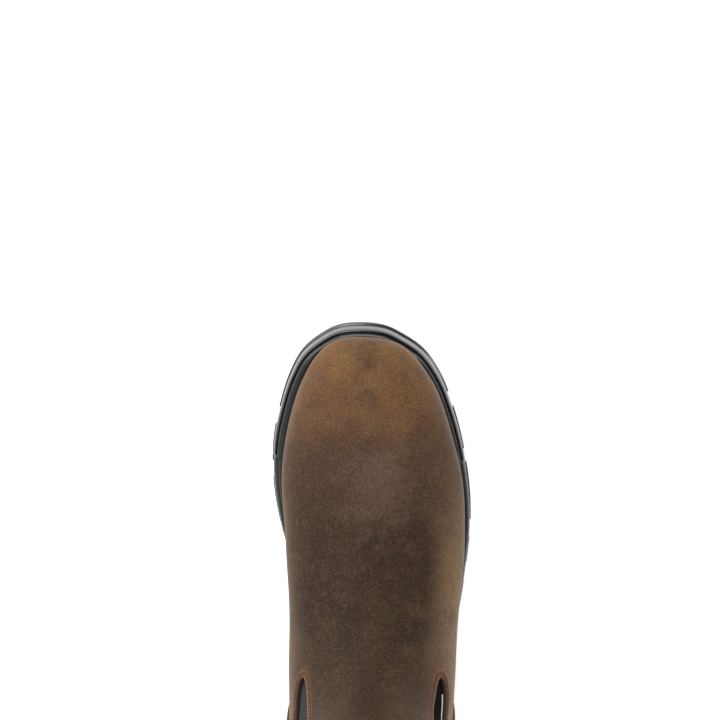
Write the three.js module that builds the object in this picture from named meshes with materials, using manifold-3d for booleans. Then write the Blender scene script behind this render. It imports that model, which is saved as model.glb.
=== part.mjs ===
// A pull-on work boot for the right foot: a hollow leather upper with an elastic gore on each side,
// a backstay and a pull loop, on a black midsole and a lugged rubber outsole with a heel.
// Millimetres, +Z up, toe towards -Y, medial (big toe) side towards +X.
// The origin is on the floor, at the middle of the boot's length and width.
import * as THREE from 'three';
import { mergeVertices } from 'three/addons/utils/BufferGeometryUtils.js';
import Module from 'manifold-3d';

const wasm = await Module();
wasm.setup();

// Driving sizes
const soleLength = 322;
const soleWidth = 115;
const collarFront = 160; // height of the top line at the shin
const collarBack = 167; // and at the heel tendon
const collarDip = 3; // how far the top line sags at the gores
const collarLength = 0.365 * soleLength; // heel to shin, along the top line
const toeHeight = 52; // rise of the toe box above the forefoot bed
const toeSpring = 13;
const leather = 2.2; // wall of the upper
const quarterLap = 1.2; // how far the quarters stand proud of the vamp
const backstayThickness = 1.4;
const backstayWidth = 25;
const clearance = 0.3; // between pieces that touch
const goreThickness = 1.5;
const goreMargin = 7; // hidden edge of the elastic behind the leather
const insoleThickness = 4.5;
const lastingInset = 24; // from the sole's edge to the opening under the upper

// Sole heights: tread, slab and midsole
const lugDepth = 4.5;
const slabThickness = 4;
const heelHeight = 18; // floor to the top of the heel block
const heelBreast = 90; // from the back of the heel to its front face
const breastLean = 6; // how far back that face leans over the height of the cutting forms
const midsoleForefoot = 8.7; // under the ball of the foot
const midsoleHeel = 10.2; // under the heel
const sidewallHeight = 18; // midsole edge, from the outsole to its lip
const guardHeight = 13; // how far the outsole wraps up the toe
const guardThickness = 3;
const guardProud = 0.6;
const lugProud = 1.3; // side lugs beyond the sole's edge
const springStart = 241; // where the tread leaves the floor, from the heel

// Pull loop
const loopWidth = 24;
const loopThickness = 1.8;
const loopRise = 26; // above the top line
const loopInside = 22; // leg sewn inside the collar
const loopOutside = 26; // leg sewn over the backstay
const loopSag = 1.5; // the inner leg is flat, so its middle stands this far off the curved lining

const forefootBed = lugDepth + slabThickness + midsoleForefoot;
const shaftHeight = collarBack - forefootBed;
const rise = { toe: toeHeight, shaft: shaftHeight };

// The sole's edge, seen from above: distance from the back of the heel as a share of soleLength,
// and the medial and lateral edge as shares of soleWidth from the long axis.
const soleEdge = [
  { fromHeel: 0.000, medial: 0.0, lateral: 0.0 },
  { fromHeel: 0.021, medial: 0.2, lateral: 0.2 },
  { fromHeel: 0.078, medial: 0.317, lateral: 0.317 },
  { fromHeel: 0.155, medial: 0.35, lateral: 0.357 },
  { fromHeel: 0.252, medial: 0.345, lateral: 0.368 },
  { fromHeel: 0.349, medial: 0.337, lateral: 0.405 },
  { fromHeel: 0.456, medial: 0.367, lateral: 0.463 },
  { fromHeel: 0.554, medial: 0.425, lateral: 0.503 },
  { fromHeel: 0.611, medial: 0.47, lateral: 0.517 },
  { fromHeel: 0.670, medial: 0.5, lateral: 0.514 },
  { fromHeel: 0.728, medial: 0.512, lateral: 0.495 },
  { fromHeel: 0.786, medial: 0.503, lateral: 0.463 },
  { fromHeel: 0.844, medial: 0.47, lateral: 0.417 },
  { fromHeel: 0.902, medial: 0.42, lateral: 0.354 },
  { fromHeel: 0.949, medial: 0.351, lateral: 0.267 },
  { fromHeel: 0.978, medial: 0.26, lateral: 0.16 },
  { fromHeel: 0.995, medial: 0.172, lateral: 0.064 },
  { fromHeel: 1.000, medial: 0.067, lateral: -0.067 },
];

// Height of the outsole's top face along the sole, as shares of heelHeight above the forefoot's own
// height: the shank comes down from the heel to the ball of the foot.
const shankFall = [
  { fromHeel: 0.0, share: 1 },
  { fromHeel: 0.272, share: 1 },
  { fromHeel: 0.363, share: 0.86 },
  { fromHeel: 0.464, share: 0.45 },
  { fromHeel: 0.565, share: 0.1 },
  { fromHeel: 0.625, share: 0 },
];

// How far the lugs stop short of the ground line under the shank, in millimetres.
const shankLift = [
  { fromHeel: 0, lift: 0 },
  { fromHeel: 0.303, lift: 0 },
  { fromHeel: 0.403, lift: 8 },
  { fromHeel: 0.504, lift: 4 },
  { fromHeel: 0.605, lift: 0 },
  { fromHeel: 1, lift: 0 },
];

// Sections of the upper's outer face, from the toe to above the collar. Each lies in a plane through
// its top point (vamp ridge, instep, shin) and its bottom point (sole bed, heel seat, back of the heel).
// top and bottom: [from the heel as a share of soleLength, height as a share of the rise in `of`], the
// top measured from the forefoot's bed and the bottom from the bed under it.
// spine, medial and lateral: shares of soleWidth from the long axis.
// widest: where on the way up it is widest; crown and side: how square the upper and lower half are;
// flat: the flat share of the bottom on the medial and lateral side.
const sections = [
  { name: 'toe tip', of: 'toe', top: [0.9893, 0.515], bottom: [0.9893, 0.292],
    spine: 0.07, medial: 0.07, lateral: -0.07, widest: 0.5, crown: 2.3, side: 2.3, flat: [0.3, 0.3] },
  { name: 'toe front', of: 'toe', top: [0.9874, 0.65], bottom: [0.9869, 0.179],
    spine: 0.066, medial: 0.146, lateral: 0.03, widest: 0.5, crown: 2.35, side: 2.3, flat: [0.4, 0.4] },
  { name: 'toe cap', of: 'toe', top: [0.9777, 0.755], bottom: [0.9777, 0.083],
    spine: 0.058, medial: 0.214, lateral: 0.126, widest: 0.48, crown: 2.4, side: 2.3, flat: [0.55, 0.55] },
  { name: 'toe cap', of: 'toe', top: [0.9603, 0.84], bottom: [0.9603, 0.04],
    spine: 0.05, medial: 0.272, lateral: 0.202, widest: 0.45, crown: 2.45, side: 2.3, flat: [0.65, 0.65] },
  { name: 'toe box', of: 'toe', top: [0.9322, 0.915], bottom: [0.9322, 0.027],
    spine: 0.041, medial: 0.328, lateral: 0.268, widest: 0.42, crown: 2.45, side: 2.3, flat: [0.7, 0.7] },
  { name: 'toe box', of: 'toe', top: [0.8809, 0.977], bottom: [0.8809, 0.02],
    spine: 0.032, medial: 0.388, lateral: 0.349, widest: 0.4, crown: 2.4, side: 2.3, flat: [0.74, 0.74] },
  { name: 'vamp', of: 'toe', top: [0.8034, 1.042], bottom: [0.8034, 0.015],
    spine: 0.02, medial: 0.443, lateral: 0.418, widest: 0.38, crown: 2.3, side: 2.3, flat: [0.76, 0.74] },
  { name: 'ball', of: 'toe', top: [0.7182, 1.15], bottom: [0.7182, 0],
    spine: 0.014, medial: 0.467, lateral: 0.474, widest: 0.38, crown: 2.15, side: 2.2, flat: [0.74, 0.74] },
  { name: 'ball', of: 'shaft', top: [0.6113, 0.459], bottom: [0.6052, 0],
    spine: 0.009, medial: 0.45, lateral: 0.489, widest: 0.4, crown: 2.0, side: 2.1, flat: [0.66, 0.72] },
  { name: 'waist', of: 'shaft', top: [0.5366, 0.535], bottom: [0.4963, 0],
    spine: 0.005, medial: 0.432, lateral: 0.464, widest: 0.44, crown: 1.95, side: 1.95, flat: [0.52, 0.62] },
  { name: 'instep', of: 'shaft', top: [0.4721, 0.62], bottom: [0.3752, 0],
    spine: 0.002, medial: 0.43, lateral: 0.442, widest: 0.46, crown: 1.95, side: 1.95, flat: [0.46, 0.56] },
  { name: 'throat', of: 'shaft', top: [0.4252, 0.703], bottom: [0.233, 0],
    spine: 0.0, medial: 0.427, lateral: 0.426, widest: 0.46, crown: 2.0, side: 2.0, flat: [0.5, 0.54] },
  { name: 'ankle', of: 'shaft', top: [0.4005, 0.783], bottom: [0.1059, 0],
    spine: 0.0, medial: 0.428, lateral: 0.408, widest: 0.48, crown: 2.05, side: 2.15, flat: [0.42, 0.44] },
  { name: 'heel corner', of: 'shaft', top: [0.3863, 0.848], bottom: [0.03026, 0.049],
    spine: 0.0, medial: 0.425, lateral: 0.412, widest: 0.5, crown: 2.1, side: 2.2, flat: [0.2, 0.22] },
  { name: 'heel curve', of: 'shaft', top: [0.3762, 0.907], bottom: [0.01866, 0.227],
    spine: 0.0, medial: 0.415, lateral: 0.403, widest: 0.52, crown: 2.1, side: 2.2, flat: [0.12, 0.12] },
  { name: 'tendon', of: 'shaft', top: [0.3692, 0.96], bottom: [0.03026, 0.482],
    spine: 0.0, medial: 0.405, lateral: 0.395, widest: 0.52, crown: 2.15, side: 2.2, flat: [0.1, 0.1] },
  { name: 'collar', of: 'shaft', top: [0.3646, 1.013], bottom: [0.03883, 0.737],
    spine: 0.0, medial: 0.398, lateral: 0.39, widest: 0.51, crown: 2.15, side: 2.2, flat: [0.1, 0.1] },
  { name: 'above collar', of: 'shaft', top: [0.3616, 1.072], bottom: [0.03883, 0.993],
    spine: 0.0, medial: 0.395, lateral: 0.389, widest: 0.5, crown: 2.15, side: 2.2, flat: [0.1, 0.1] },
];
const ringsPerRow = 2;
const crownSteps = 7;
const sideSteps = 5;
const flatSteps = 2;

// Edge of the midsole, from the outsole up to the lip: out is the distance beyond the sole's edge in
// millimetres, up a share of sidewallHeight. A groove runs round it, then a shoulder and the lip.
const sidewall = [
  { out: -0.7, up: 0 },
  { out: 0.0, up: 0.05 },
  { out: 0.3, up: 0.22 },
  { out: -0.6, up: 0.27 },
  { out: -0.6, up: 0.32 },
  { out: 0.3, up: 0.37 },
  { out: 0.2, up: 0.5 },
  { out: -0.7, up: 0.59 },
  { out: -2.2, up: 0.67 },
  { out: -3, up: 0.68 },
  { out: -3, up: 0.73 },
  { out: -2.9, up: 0.78 },
  { out: -3, up: 0.93 },
  { out: -3.5, up: 0.99 },
  { out: -4.3, up: 1.0 },
];

// Edge of the slab under it: out as above, up in millimetres from the slab's underside.
const slabEdge = [
  { out: -0.8, up: 0 },
  { out: 0.2, up: 1 },
  { out: 0.2, up: slabThickness - 0.8 },
  { out: -0.6, up: slabThickness },
];

// Outer face of the toe guard: inward is measured from its face, up is a share of guardHeight.
const guardFace = [
  { inward: 0, up: 0.62 },
  { inward: 0.5, up: 0.82 },
  { inward: 1.7, up: 0.95 },
  { inward: 3, up: 1 },
];

// Perimeter lugs, from the toe backwards: start and end measured from the toe tip, in shares of soleLength.
const sideLugs = {
  medial: [[0.197, 0.266], [0.3, 0.385], [0.42, 0.468], [0.506, 0.556], [0.741, 0.804], [0.835, 0.903]],
  lateral: [[0.164, 0.244], [0.272, 0.381], [0.415, 0.463], [0.499, 0.549], [0.741, 0.804], [0.835, 0.903]],
};
const toeLug = { medial: 0.162, lateral: 0.132 }; // ends of the lug that wraps the toe
const guardEnd = { medial: 0.249, lateral: 0.261 }; // ends of the band that wraps up the toe
const heelLug = 0.93; // start of the lug that wraps the back of the heel
const lugReach = 21; // side lugs, from the sole's edge inwards
const toeLugReach = 15;
const heelLugReach = 17;
const centreLugs = [0.135, 0.188, 0.241, 0.294, 0.347, 0.4]; // chevrons down the middle of the forefoot
const heelBars = [0.77, 0.835, 0.9];
const centreLugWidth = 44;
const heelBarWidth = 26.4;
const centreLugDepth = 11;
const chevron = 7;

// Elastic gore, seen from the side: back is the distance behind its front tip as a share of goreWidth,
// up the height above its floor as a share of goreHeight. It is open at the collar.
const goreTip = 129; // from the back of the heel
const goreFloor = 95;
const goreWidth = 66;
const goreHeight = 83;
const goreEdge = [
  { back: 0.6, up: 1 },
  { back: 0.54, up: 0.78 },
  { back: 0.46, up: 0.54 },
  { back: 0.3, up: 0.3 },
  { back: 0.15, up: 0.16 },
  { back: 0.045, up: 0.08 },
  { back: 0.02, up: 0.04 },
  { back: 0.06, up: 0.008 },
  { back: 0.16, up: 0 },
  { back: 0.27, up: 0.018 },
  { back: 0.41, up: 0.075 },
  { back: 0.62, up: 0.2 },
  { back: 0.85, up: 0.42 },
  { back: 1.02, up: 0.7 },
  { back: 1.14, up: 1 },
];
// The seam where the quarters lap over the vamp: down from the gore's floor to the sole.
const quarterSeam = { atSole: 110, atGore: 90, top: 68 };

// Uniform Catmull-Rom through values[1], values[2] and so on, at 0, 1 ...; the two ends only steer it.
function smooth(values, at) {
  const k = Math.min(Math.floor(at), values.length - 4);
  const t = at - k;
  const [a, b, c, d] = values.slice(k, k + 4);
  const bend = (2 * a - 5 * b + 4 * c - d) * t * t + (3 * b - a - 3 * c + d) * t * t * t;
  return b + 0.5 * ((c - a) * t + bend);
}

// Reads a table along the sole: the smooth value of a column at a distance from the heel.
function alongSole(rows, column, fromHeel) {
  const share = THREE.MathUtils.clamp(fromHeel / soleLength, rows[0].fromHeel, rows.at(-1).fromHeel);
  const next = Math.max(1, rows.findIndex((row) => row.fromHeel >= share));
  const [low, high] = [rows[next - 1], rows[next]];
  const t = THREE.MathUtils.smoothstep(share, low.fromHeel, high.fromHeel);
  const straight = (share - low.fromHeel) / (high.fromHeel - low.fromHeel);
  return THREE.MathUtils.lerp(low[column], high[column], 0.5 * (t + straight));
}

const along = (fromHeel) => soleLength / 2 - fromHeel; // distance from the heel to the row's Y
const fromHeelAt = (y) => soleLength / 2 - y;

// Heights along the sole
function ground(fromHeel) {
  const past = Math.max(0, fromHeel - springStart) / (soleLength - springStart);
  return toeSpring * past * past;
}
const forefootTop = lugDepth + slabThickness;
const shank = (fromHeel) => alongSole(shankFall, 'share', fromHeel);
const outsoleTop = (fromHeel) =>
  THREE.MathUtils.lerp(forefootTop, heelHeight, shank(fromHeel)) + ground(fromHeel);
const slabBottom = (fromHeel) => outsoleTop(fromHeel) - clearance - slabThickness;
const lip = (fromHeel) => outsoleTop(fromHeel) + sidewallHeight;
const bed = (fromHeel) =>
  outsoleTop(fromHeel) + THREE.MathUtils.lerp(midsoleForefoot, midsoleHeel, shank(fromHeel));

// Solids

function solidOf(geometry) {
  const bare = new THREE.BufferGeometry().setAttribute('position', geometry.getAttribute('position'));
  if (geometry.index) bare.setIndex(geometry.index);
  const merged = mergeVertices(bare, 1e-4);
  const triVerts = new Uint32Array(merged.index.array);
  const vertProperties = merged.attributes.position.array;
  return new wasm.Manifold(new wasm.Mesh({ numProp: 3, vertProperties, triVerts }));
}

function geometryOf(solid) {
  const mesh = solid.getMesh();
  const positions = new Float32Array(mesh.numVert * 3);
  for (let i = 0; i < mesh.numVert; i++) {
    positions.set(mesh.vertProperties.subarray(i * mesh.numProp, i * mesh.numProp + 3), i * 3);
  }
  return new THREE.BufferGeometry()
    .setAttribute('position', new THREE.BufferAttribute(positions, 3))
    .setIndex(new THREE.BufferAttribute(mesh.triVerts, 1));
}

// A closed surface from rings of equal length, with a cap at each end made by the given function.
function ringSurface(rings, capStart, capEnd) {
  const points = rings.flat();
  const n = rings[0].length;
  const faces = [];
  for (let r = 0; r + 1 < rings.length; r++) {
    for (let j = 0; j < n; j++) {
      const [a, b] = [r * n + j, r * n + ((j + 1) % n)];
      faces.push(a, b + n, b, a, a + n, b + n);
    }
  }
  capStart(faces, points, 0, n, false);
  capEnd(faces, points, (rings.length - 1) * n, n, true);
  return new THREE.BufferGeometry().setFromPoints(points).setIndex(faces);
}

// Cap with strips between the two sides of a ring, so that it bends only along the sole.
function ladderCap(faces, points, first, n, last) {
  const tri = (a, b, c) => (last ? faces.push(a, c, b) : faces.push(a, b, c));
  for (let j = 0; j < n / 2; j++) {
    const [a, b, c, d] = [first + j, first + j + 1, first + ((n - j - 1) % n), first + ((n - j) % n)];
    if (j > 0) tri(a, b, d);
    if (j < n / 2 - 1) tri(d, b, c);
  }
}

function fanCap(faces, points, first, n, last) {
  const centre = new THREE.Vector3();
  for (let j = 0; j < n; j++) centre.add(points[first + j]);
  points.push(centre.divideScalar(n));
  for (let j = 0; j < n; j++) {
    const [a, b, c] = [first + j, first + ((j + 1) % n), points.length - 1];
    if (last) faces.push(a, c, b);
    else faces.push(a, b, c);
  }
}

// A side-view outline of [from heel, height] points, carried across the boot between two X.
function sidePrism(outline, xFrom, xTo) {
  const shape = new THREE.Shape(outline.map(([fromHeel, z]) => new THREE.Vector2(along(fromHeel), z)));
  const geometry = new THREE.ExtrudeGeometry(shape, { depth: xTo - xFrom, bevelEnabled: false });
  geometry.applyMatrix4(
    new THREE.Matrix4().makeBasis(
      new THREE.Vector3(0, 1, 0),
      new THREE.Vector3(0, 0, 1),
      new THREE.Vector3(1, 0, 0),
    ),
  );
  return solidOf(geometry.translate(xFrom, 0, 0));
}

// A plan outline of Vector2 points, between two heights that follow the distance from the heel.
function planPrism(outline, low, high) {
  const geometry = new THREE.ExtrudeGeometry(new THREE.Shape(outline), { depth: 1, bevelEnabled: false });
  const position = geometry.getAttribute('position');
  for (let i = 0; i < position.count; i++) {
    const fromHeel = fromHeelAt(position.getY(i));
    position.setZ(i, position.getZ(i) > 0.5 ? high(fromHeel) : low(fromHeel));
  }
  return solidOf(geometry);
}

// The sole's edge

const outlineSteps = 2 * (2 * soleEdge.length - 2);

// Closed curve round the sole, from the back of the heel up the medial side and back down the lateral.
const edgeCurve = (() => {
  const point = (x, row) => new THREE.Vector3(x * soleWidth, along(row.fromHeel * soleLength), 0);
  const medial = soleEdge.map((row) => point(row.medial, row));
  const lateral = soleEdge.slice(1, -1).map((row) => point(-row.lateral, row));
  return new THREE.CatmullRomCurve3([...medial, ...lateral.reverse()], true, 'centripetal');
})();
const toeAt = (soleEdge.length - 1) / (2 * soleEdge.length - 2); // the curve's parameter at the toe tip

// A point of the sole's edge moved outwards, at 0 to 1 round the curve.
function edgePoint(at, out) {
  const around = THREE.MathUtils.euclideanModulo(at, 1);
  const [p, tangent] = [edgeCurve.getPoint(around), edgeCurve.getTangent(around)];
  return new THREE.Vector2(p.x - tangent.y * out, p.y + tangent.x * out);
}
const edgeSteps = Array.from({ length: outlineSteps }, (_, i) => i / outlineSteps);
const edgeOutline = (out) => edgeSteps.map((t) => edgePoint(t, out));

// Where on the edge curve the given side is at a distance from the toe tip.
function edgeAt(side, fromToe) {
  let [low, high] = side > 0 ? [0, toeAt] : [toeAt, 1];
  const target = along(soleLength - fromToe);
  for (let i = 0; i < 40; i++) {
    const middle = (low + high) / 2;
    const beyond = edgeCurve.getPoint(middle).y < target;
    if (side > 0 ? beyond : !beyond) high = middle;
    else low = middle;
  }
  return (low + high) / 2;
}

// Closed solid of rings round the sole's edge: rows of { out, height(fromHeel) }.
function edgeSolid(rows) {
  const rings = rows.map(({ out, height }) =>
    edgeSteps.map((t) => {
      const p = edgePoint(t, out);
      return new THREE.Vector3(p.x, p.y, height(fromHeelAt(edgeCurve.getPoint(t).y)));
    }),
  );
  return solidOf(ringSurface(rings, ladderCap, ladderCap));
}

// The upper's form

// The values of a section between the table's rows. Past the toe tip the second row comes again upside
// down and inside out, which closes the toe as a round pole.
function sectionAt(at) {
  const column = (read, past = read) => {
    const values = sections.map(read);
    return smooth([past(sections[1]), ...values, 2 * values.at(-1) - values.at(-2)], at);
  };
  const end = (name) => (row) => row[name][0] * soleLength;
  const topHeight = (row) => forefootBed + row.top[1] * rise[row.of];
  const bottomHeight = (row) => bed(row.bottom[0] * soleLength) + row.bottom[1] * rise[row.of];
  const share = (name) => column((row) => row[name]);
  return {
    top: { fromHeel: column(end('top'), end('bottom')), z: column(topHeight, bottomHeight) },
    bottom: { fromHeel: column(end('bottom'), end('top')), z: column(bottomHeight, topHeight) },
    spine: share('spine') * soleWidth,
    medial: column((row) => row.medial, (row) => 2 * row.spine - row.medial) * soleWidth,
    lateral: column((row) => row.lateral, (row) => -2 * row.spine - row.lateral) * soleWidth,
    widest: share('widest'),
    crown: share('crown'),
    side: share('side'),
    flatMedial: column((row) => row.flat[0]),
    flatLateral: column((row) => row.flat[1]),
  };
}

// Half a section, from the middle of the bottom to the middle of the top, as [across, up] shares:
// a flat, then a superellipse out to the widest place, then one in to the crown.
function halfSection({ widest, crown, side }, flat) {
  const points = [];
  for (let i = 0; i < flatSteps; i++) points.push([(flat * i) / flatSteps, 0]);
  for (let i = 0; i < sideSteps; i++) {
    const a = (Math.PI / 2) * (1 - i / sideSteps);
    const out = Math.max(0, Math.cos(a)) ** (2 / side);
    points.push([flat + (1 - flat) * out, widest * (1 - Math.sin(a) ** (2 / side))]);
  }
  for (let i = 0; i <= crownSteps; i++) {
    const a = (Math.PI / 2) * (i / crownSteps);
    const out = Math.max(0, Math.cos(a)) ** (2 / crown);
    points.push([out, widest + (1 - widest) * Math.sin(a) ** (2 / crown)]);
  }
  points.at(-1)[0] = 0;
  return points;
}

function sectionRing(at) {
  const s = sectionAt(at);
  const place = (across, up) =>
    new THREE.Vector3(
      s.spine + across,
      along(THREE.MathUtils.lerp(s.bottom.fromHeel, s.top.fromHeel, up)),
      THREE.MathUtils.lerp(s.bottom.z, s.top.z, up),
    );
  const half = (flat, width) => halfSection(s, flat).map(([across, up]) => place(across * width, up));
  const medial = half(s.flatMedial, s.medial - s.spine);
  const lateral = half(s.flatLateral, -s.lateral - s.spine);
  return [...medial, ...lateral.slice(1, -1).reverse()];
}

// The closed form of the upper, moved outwards along its normals.
function form(offset) {
  const rings = [];
  for (let i = 1; i <= (sections.length - 1) * ringsPerRow; i++) rings.push(sectionRing(i / ringsPerRow));
  const tip = sectionRing(0)[0];
  const toePole = (faces, points, first, n) => {
    points.push(tip);
    for (let j = 0; j < n; j++) faces.push(first + j, first + ((j + 1) % n), points.length - 1);
  };
  const geometry = ringSurface(rings, toePole, fanCap);
  geometry.computeVertexNormals();
  const [position, normal] = [geometry.getAttribute('position'), geometry.getAttribute('normal')];
  for (let i = 0; i < position.count; i++) {
    position.setXYZ(
      i,
      position.getX(i) + normal.getX(i) * offset,
      position.getY(i) + normal.getY(i) * offset,
      position.getZ(i) + normal.getZ(i) * offset,
    );
  }
  return solidOf(geometry);
}

// Cutting forms reach this far past the boot
const wide = soleWidth;
const high = 2 * shaftHeight;
const deep = -20;
const behind = 30;

const quarterRegion = (grow) => {
  const { atSole, atGore, top } = quarterSeam;
  const seam = [[atSole + grow, deep], [atSole + grow, forefootBed], [atGore + grow, goreFloor]];
  return sidePrism([[-behind, deep], ...seam, [top + grow, high], [-behind, high]], -wide, wide);
};

// The leather's outer face with the quarters standing proud, grown by a gap.
function leatherForm(grow) {
  return form(grow).add(form(quarterLap + grow).intersect(quarterRegion(grow)));
}

const topLine = (fromHeel) => {
  const share = THREE.MathUtils.clamp(fromHeel / collarLength, 0, 1);
  return THREE.MathUtils.lerp(collarBack, collarFront, share) - collarDip * Math.sin(Math.PI * share);
};

// All that is above the top line.
function aboveCollar() {
  const steps = 12;
  const line = Array.from({ length: steps + 1 }, (_, i) => {
    const fromHeel = (collarLength * i) / steps;
    return [fromHeel, topLine(fromHeel)];
  });
  const round = [[soleLength, collarFront], [soleLength, high], [-behind, high], [-behind, collarBack]];
  return sidePrism([...line, ...round], -wide, wide);
}

// The gore's outline, grown on all sides by a margin, as points in the side view.
function goreOutline(margin) {
  const point = ({ back, up }) =>
    new THREE.Vector3(goreTip - back * goreWidth, goreFloor + up * goreHeight, 0);
  const curve = new THREE.CatmullRomCurve3(goreEdge.map(point), false, 'centripetal');
  const steps = 30;
  return Array.from({ length: steps + 1 }, (_, i) => {
    const p = curve.getPoint(i / steps);
    const t = curve.getTangent(i / steps);
    return [p.x - t.y * margin, p.y + t.x * margin];
  });
}

function gorePrism(side, margin) {
  const [xFrom, xTo] = side > 0 ? [2, wide] : [-wide, -2];
  return sidePrism(goreOutline(margin), xFrom, xTo);
}

// Sub-parts

function makeUpper() {
  const inside = form(-leather);
  const underneath = planPrism(
    edgeOutline(-lastingInset), () => deep, (fromHeel) => bed(fromHeel) + leather + 3);
  let upper = leatherForm(0).subtract(inside).subtract(aboveCollar()).subtract(underneath);
  for (const side of [1, -1]) upper = upper.subtract(gorePrism(side, 0));
  return upper;
}

function makeGore(side) {
  const face = -leather - clearance;
  const lining = form(face).subtract(form(face - goreThickness));
  return lining.intersect(gorePrism(side, goreMargin)).subtract(aboveCollar());
}

function makeInsole() {
  const steps = 24;
  const thickness = leather + clearance + insoleThickness;
  const line = Array.from({ length: steps + 1 }, (_, i) => {
    const fromHeel = (soleLength * i) / steps;
    return [fromHeel, bed(fromHeel) + thickness];
  });
  const outline = [[-behind, deep], [-behind, line[0][1]], ...line, [soleLength, deep]];
  return form(-leather - clearance).intersect(sidePrism(outline, -wide, wide));
}

function makeMidsole() {
  const body = edgeSolid(sidewall.map(({ out, up }) => ({
    out, height: (fromHeel) => outsoleTop(fromHeel) + up * sidewallHeight,
  })));
  return body.subtract(leatherForm(clearance)).subtract(toeWrap(clearance, 3));
}

// The band of the outsole that wraps up the toe, grown by a gap; spare widens its outer side for a cut.
function toeWrap(grow, spare = 0) {
  const top = (up) => (fromHeel) => outsoleTop(fromHeel) + up * guardHeight + grow;
  const outer = edgeSolid([
    { out: guardProud + spare, height: slabBottom },
    ...guardFace.map(({ inward, up }) => ({ out: guardProud - inward + spare, height: top(up) })),
    { out: -guardThickness - 1, height: top(1) },
  ]);
  const inside = guardProud - guardThickness - grow;
  const inner = edgeSolid([{ out: inside, height: () => deep }, { out: inside, height: () => high }]);
  const end = (share) => along((1 - share) * soleLength) + grow;
  const front = planPrism([
    new THREE.Vector2(wide, end(guardEnd.medial)), new THREE.Vector2(wide, -soleLength),
    new THREE.Vector2(-wide, -soleLength), new THREE.Vector2(-wide, end(guardEnd.lateral)),
  ], () => deep, () => high);
  return outer.subtract(inner).intersect(front);
}

// A lug between two places on the edge curve, reaching inwards from beyond the sole's edge.
function edgeLug(from, to, reachIn, low, top) {
  const steps = Math.max(2, Math.ceil(Math.abs(to - from) / 0.016));
  const at = (i) => from + ((to - from) * i) / steps;
  const outside = Array.from({ length: steps + 1 }, (_, i) => edgePoint(at(i), lugProud));
  const inside = Array.from({ length: steps + 1 }, (_, i) => edgePoint(at(steps - i), -reachIn));
  return planPrism([...outside, ...inside], low, top);
}

function makeOutsole() {
  const lugTop = (fromHeel) => slabBottom(fromHeel) + slabThickness / 2;
  const slab = edgeSolid(slabEdge.map(({ out, up }) => ({ out, height: (fromHeel) => slabBottom(fromHeel) + up })));
  const breast = [[heelBreast, deep], [heelBreast - breastLean, high]];
  const heelOnly = sidePrism([[-behind, deep], ...breast, [-behind, high]], -wide, wide);
  const { out } = slabEdge[1];
  const heelBlock = edgeSolid([{ out, height: () => lugDepth }, { out, height: lugTop }]).intersect(heelOnly);
  let outsole = slab.add(heelBlock).add(toeWrap(0));
  const rimAt = (side, share) => edgeAt(side, share * soleLength);
  for (const [side, name] of [[1, 'medial'], [-1, 'lateral']]) {
    for (const [start, end] of sideLugs[name]) {
      const lug = edgeLug(rimAt(side, start), rimAt(side, end), lugReach, lugGround, lugTop);
      outsole = outsole.add(lug);
    }
  }
  const [toeFrom, toeTo] = [rimAt(1, toeLug.medial), rimAt(-1, toeLug.lateral)];
  const [heelFrom, heelTo] = [rimAt(-1, heelLug), 1 + rimAt(1, heelLug)];
  outsole = outsole.add(edgeLug(toeFrom, toeTo, toeLugReach, lugGround, lugTop));
  outsole = outsole.add(edgeLug(heelFrom, heelTo, heelLugReach, lugGround, lugTop));
  for (const place of centreLugs) outsole = outsole.add(middleLug(place, centreLugWidth, chevron, lugTop));
  for (const place of heelBars) outsole = outsole.add(middleLug(place, heelBarWidth, 0, lugTop));
  return outsole;
}

// The foot of a lug.
const lugGround = (fromHeel) => ground(fromHeel) + alongSole(shankLift, 'lift', fromHeel);

function middleLug(place, width, point, top) {
  const front = along(soleLength * (1 - place));
  const half = width / 2;
  const outline = [
    new THREE.Vector2(-half, front + point),
    new THREE.Vector2(0, front),
    new THREE.Vector2(half, front + point),
    new THREE.Vector2(half, front + point + centreLugDepth),
    new THREE.Vector2(0, front + centreLugDepth),
    new THREE.Vector2(-half, front + point + centreLugDepth),
  ];
  return planPrism(outline, lugGround, top);
}

// A leather strip up the middle of the back, from the midsole's lip to the top line.
function makeBackstay() {
  const half = backstayWidth / 2;
  const face = quarterLap + clearance;
  const foot = lip(0) + 1;
  const outline = [[-behind, foot], [heelBreast, foot], [heelBreast, high], [-behind, high]];
  const strip = form(face + backstayThickness).subtract(form(face));
  return strip.intersect(sidePrism(outline, -half, half)).subtract(aboveCollar());
}

// Where the back of the heel is at a height: the lower end of the section that has it there.
function backLine(z) {
  let [low, high] = [sections.findIndex((row) => row.name === 'heel corner'), sections.length - 1];
  for (let i = 0; i < 40; i++) {
    const middle = (low + high) / 2;
    if (sectionAt(middle).bottom.z < z) low = middle;
    else high = middle;
  }
  return sectionAt(low).bottom.fromHeel;
}

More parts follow.
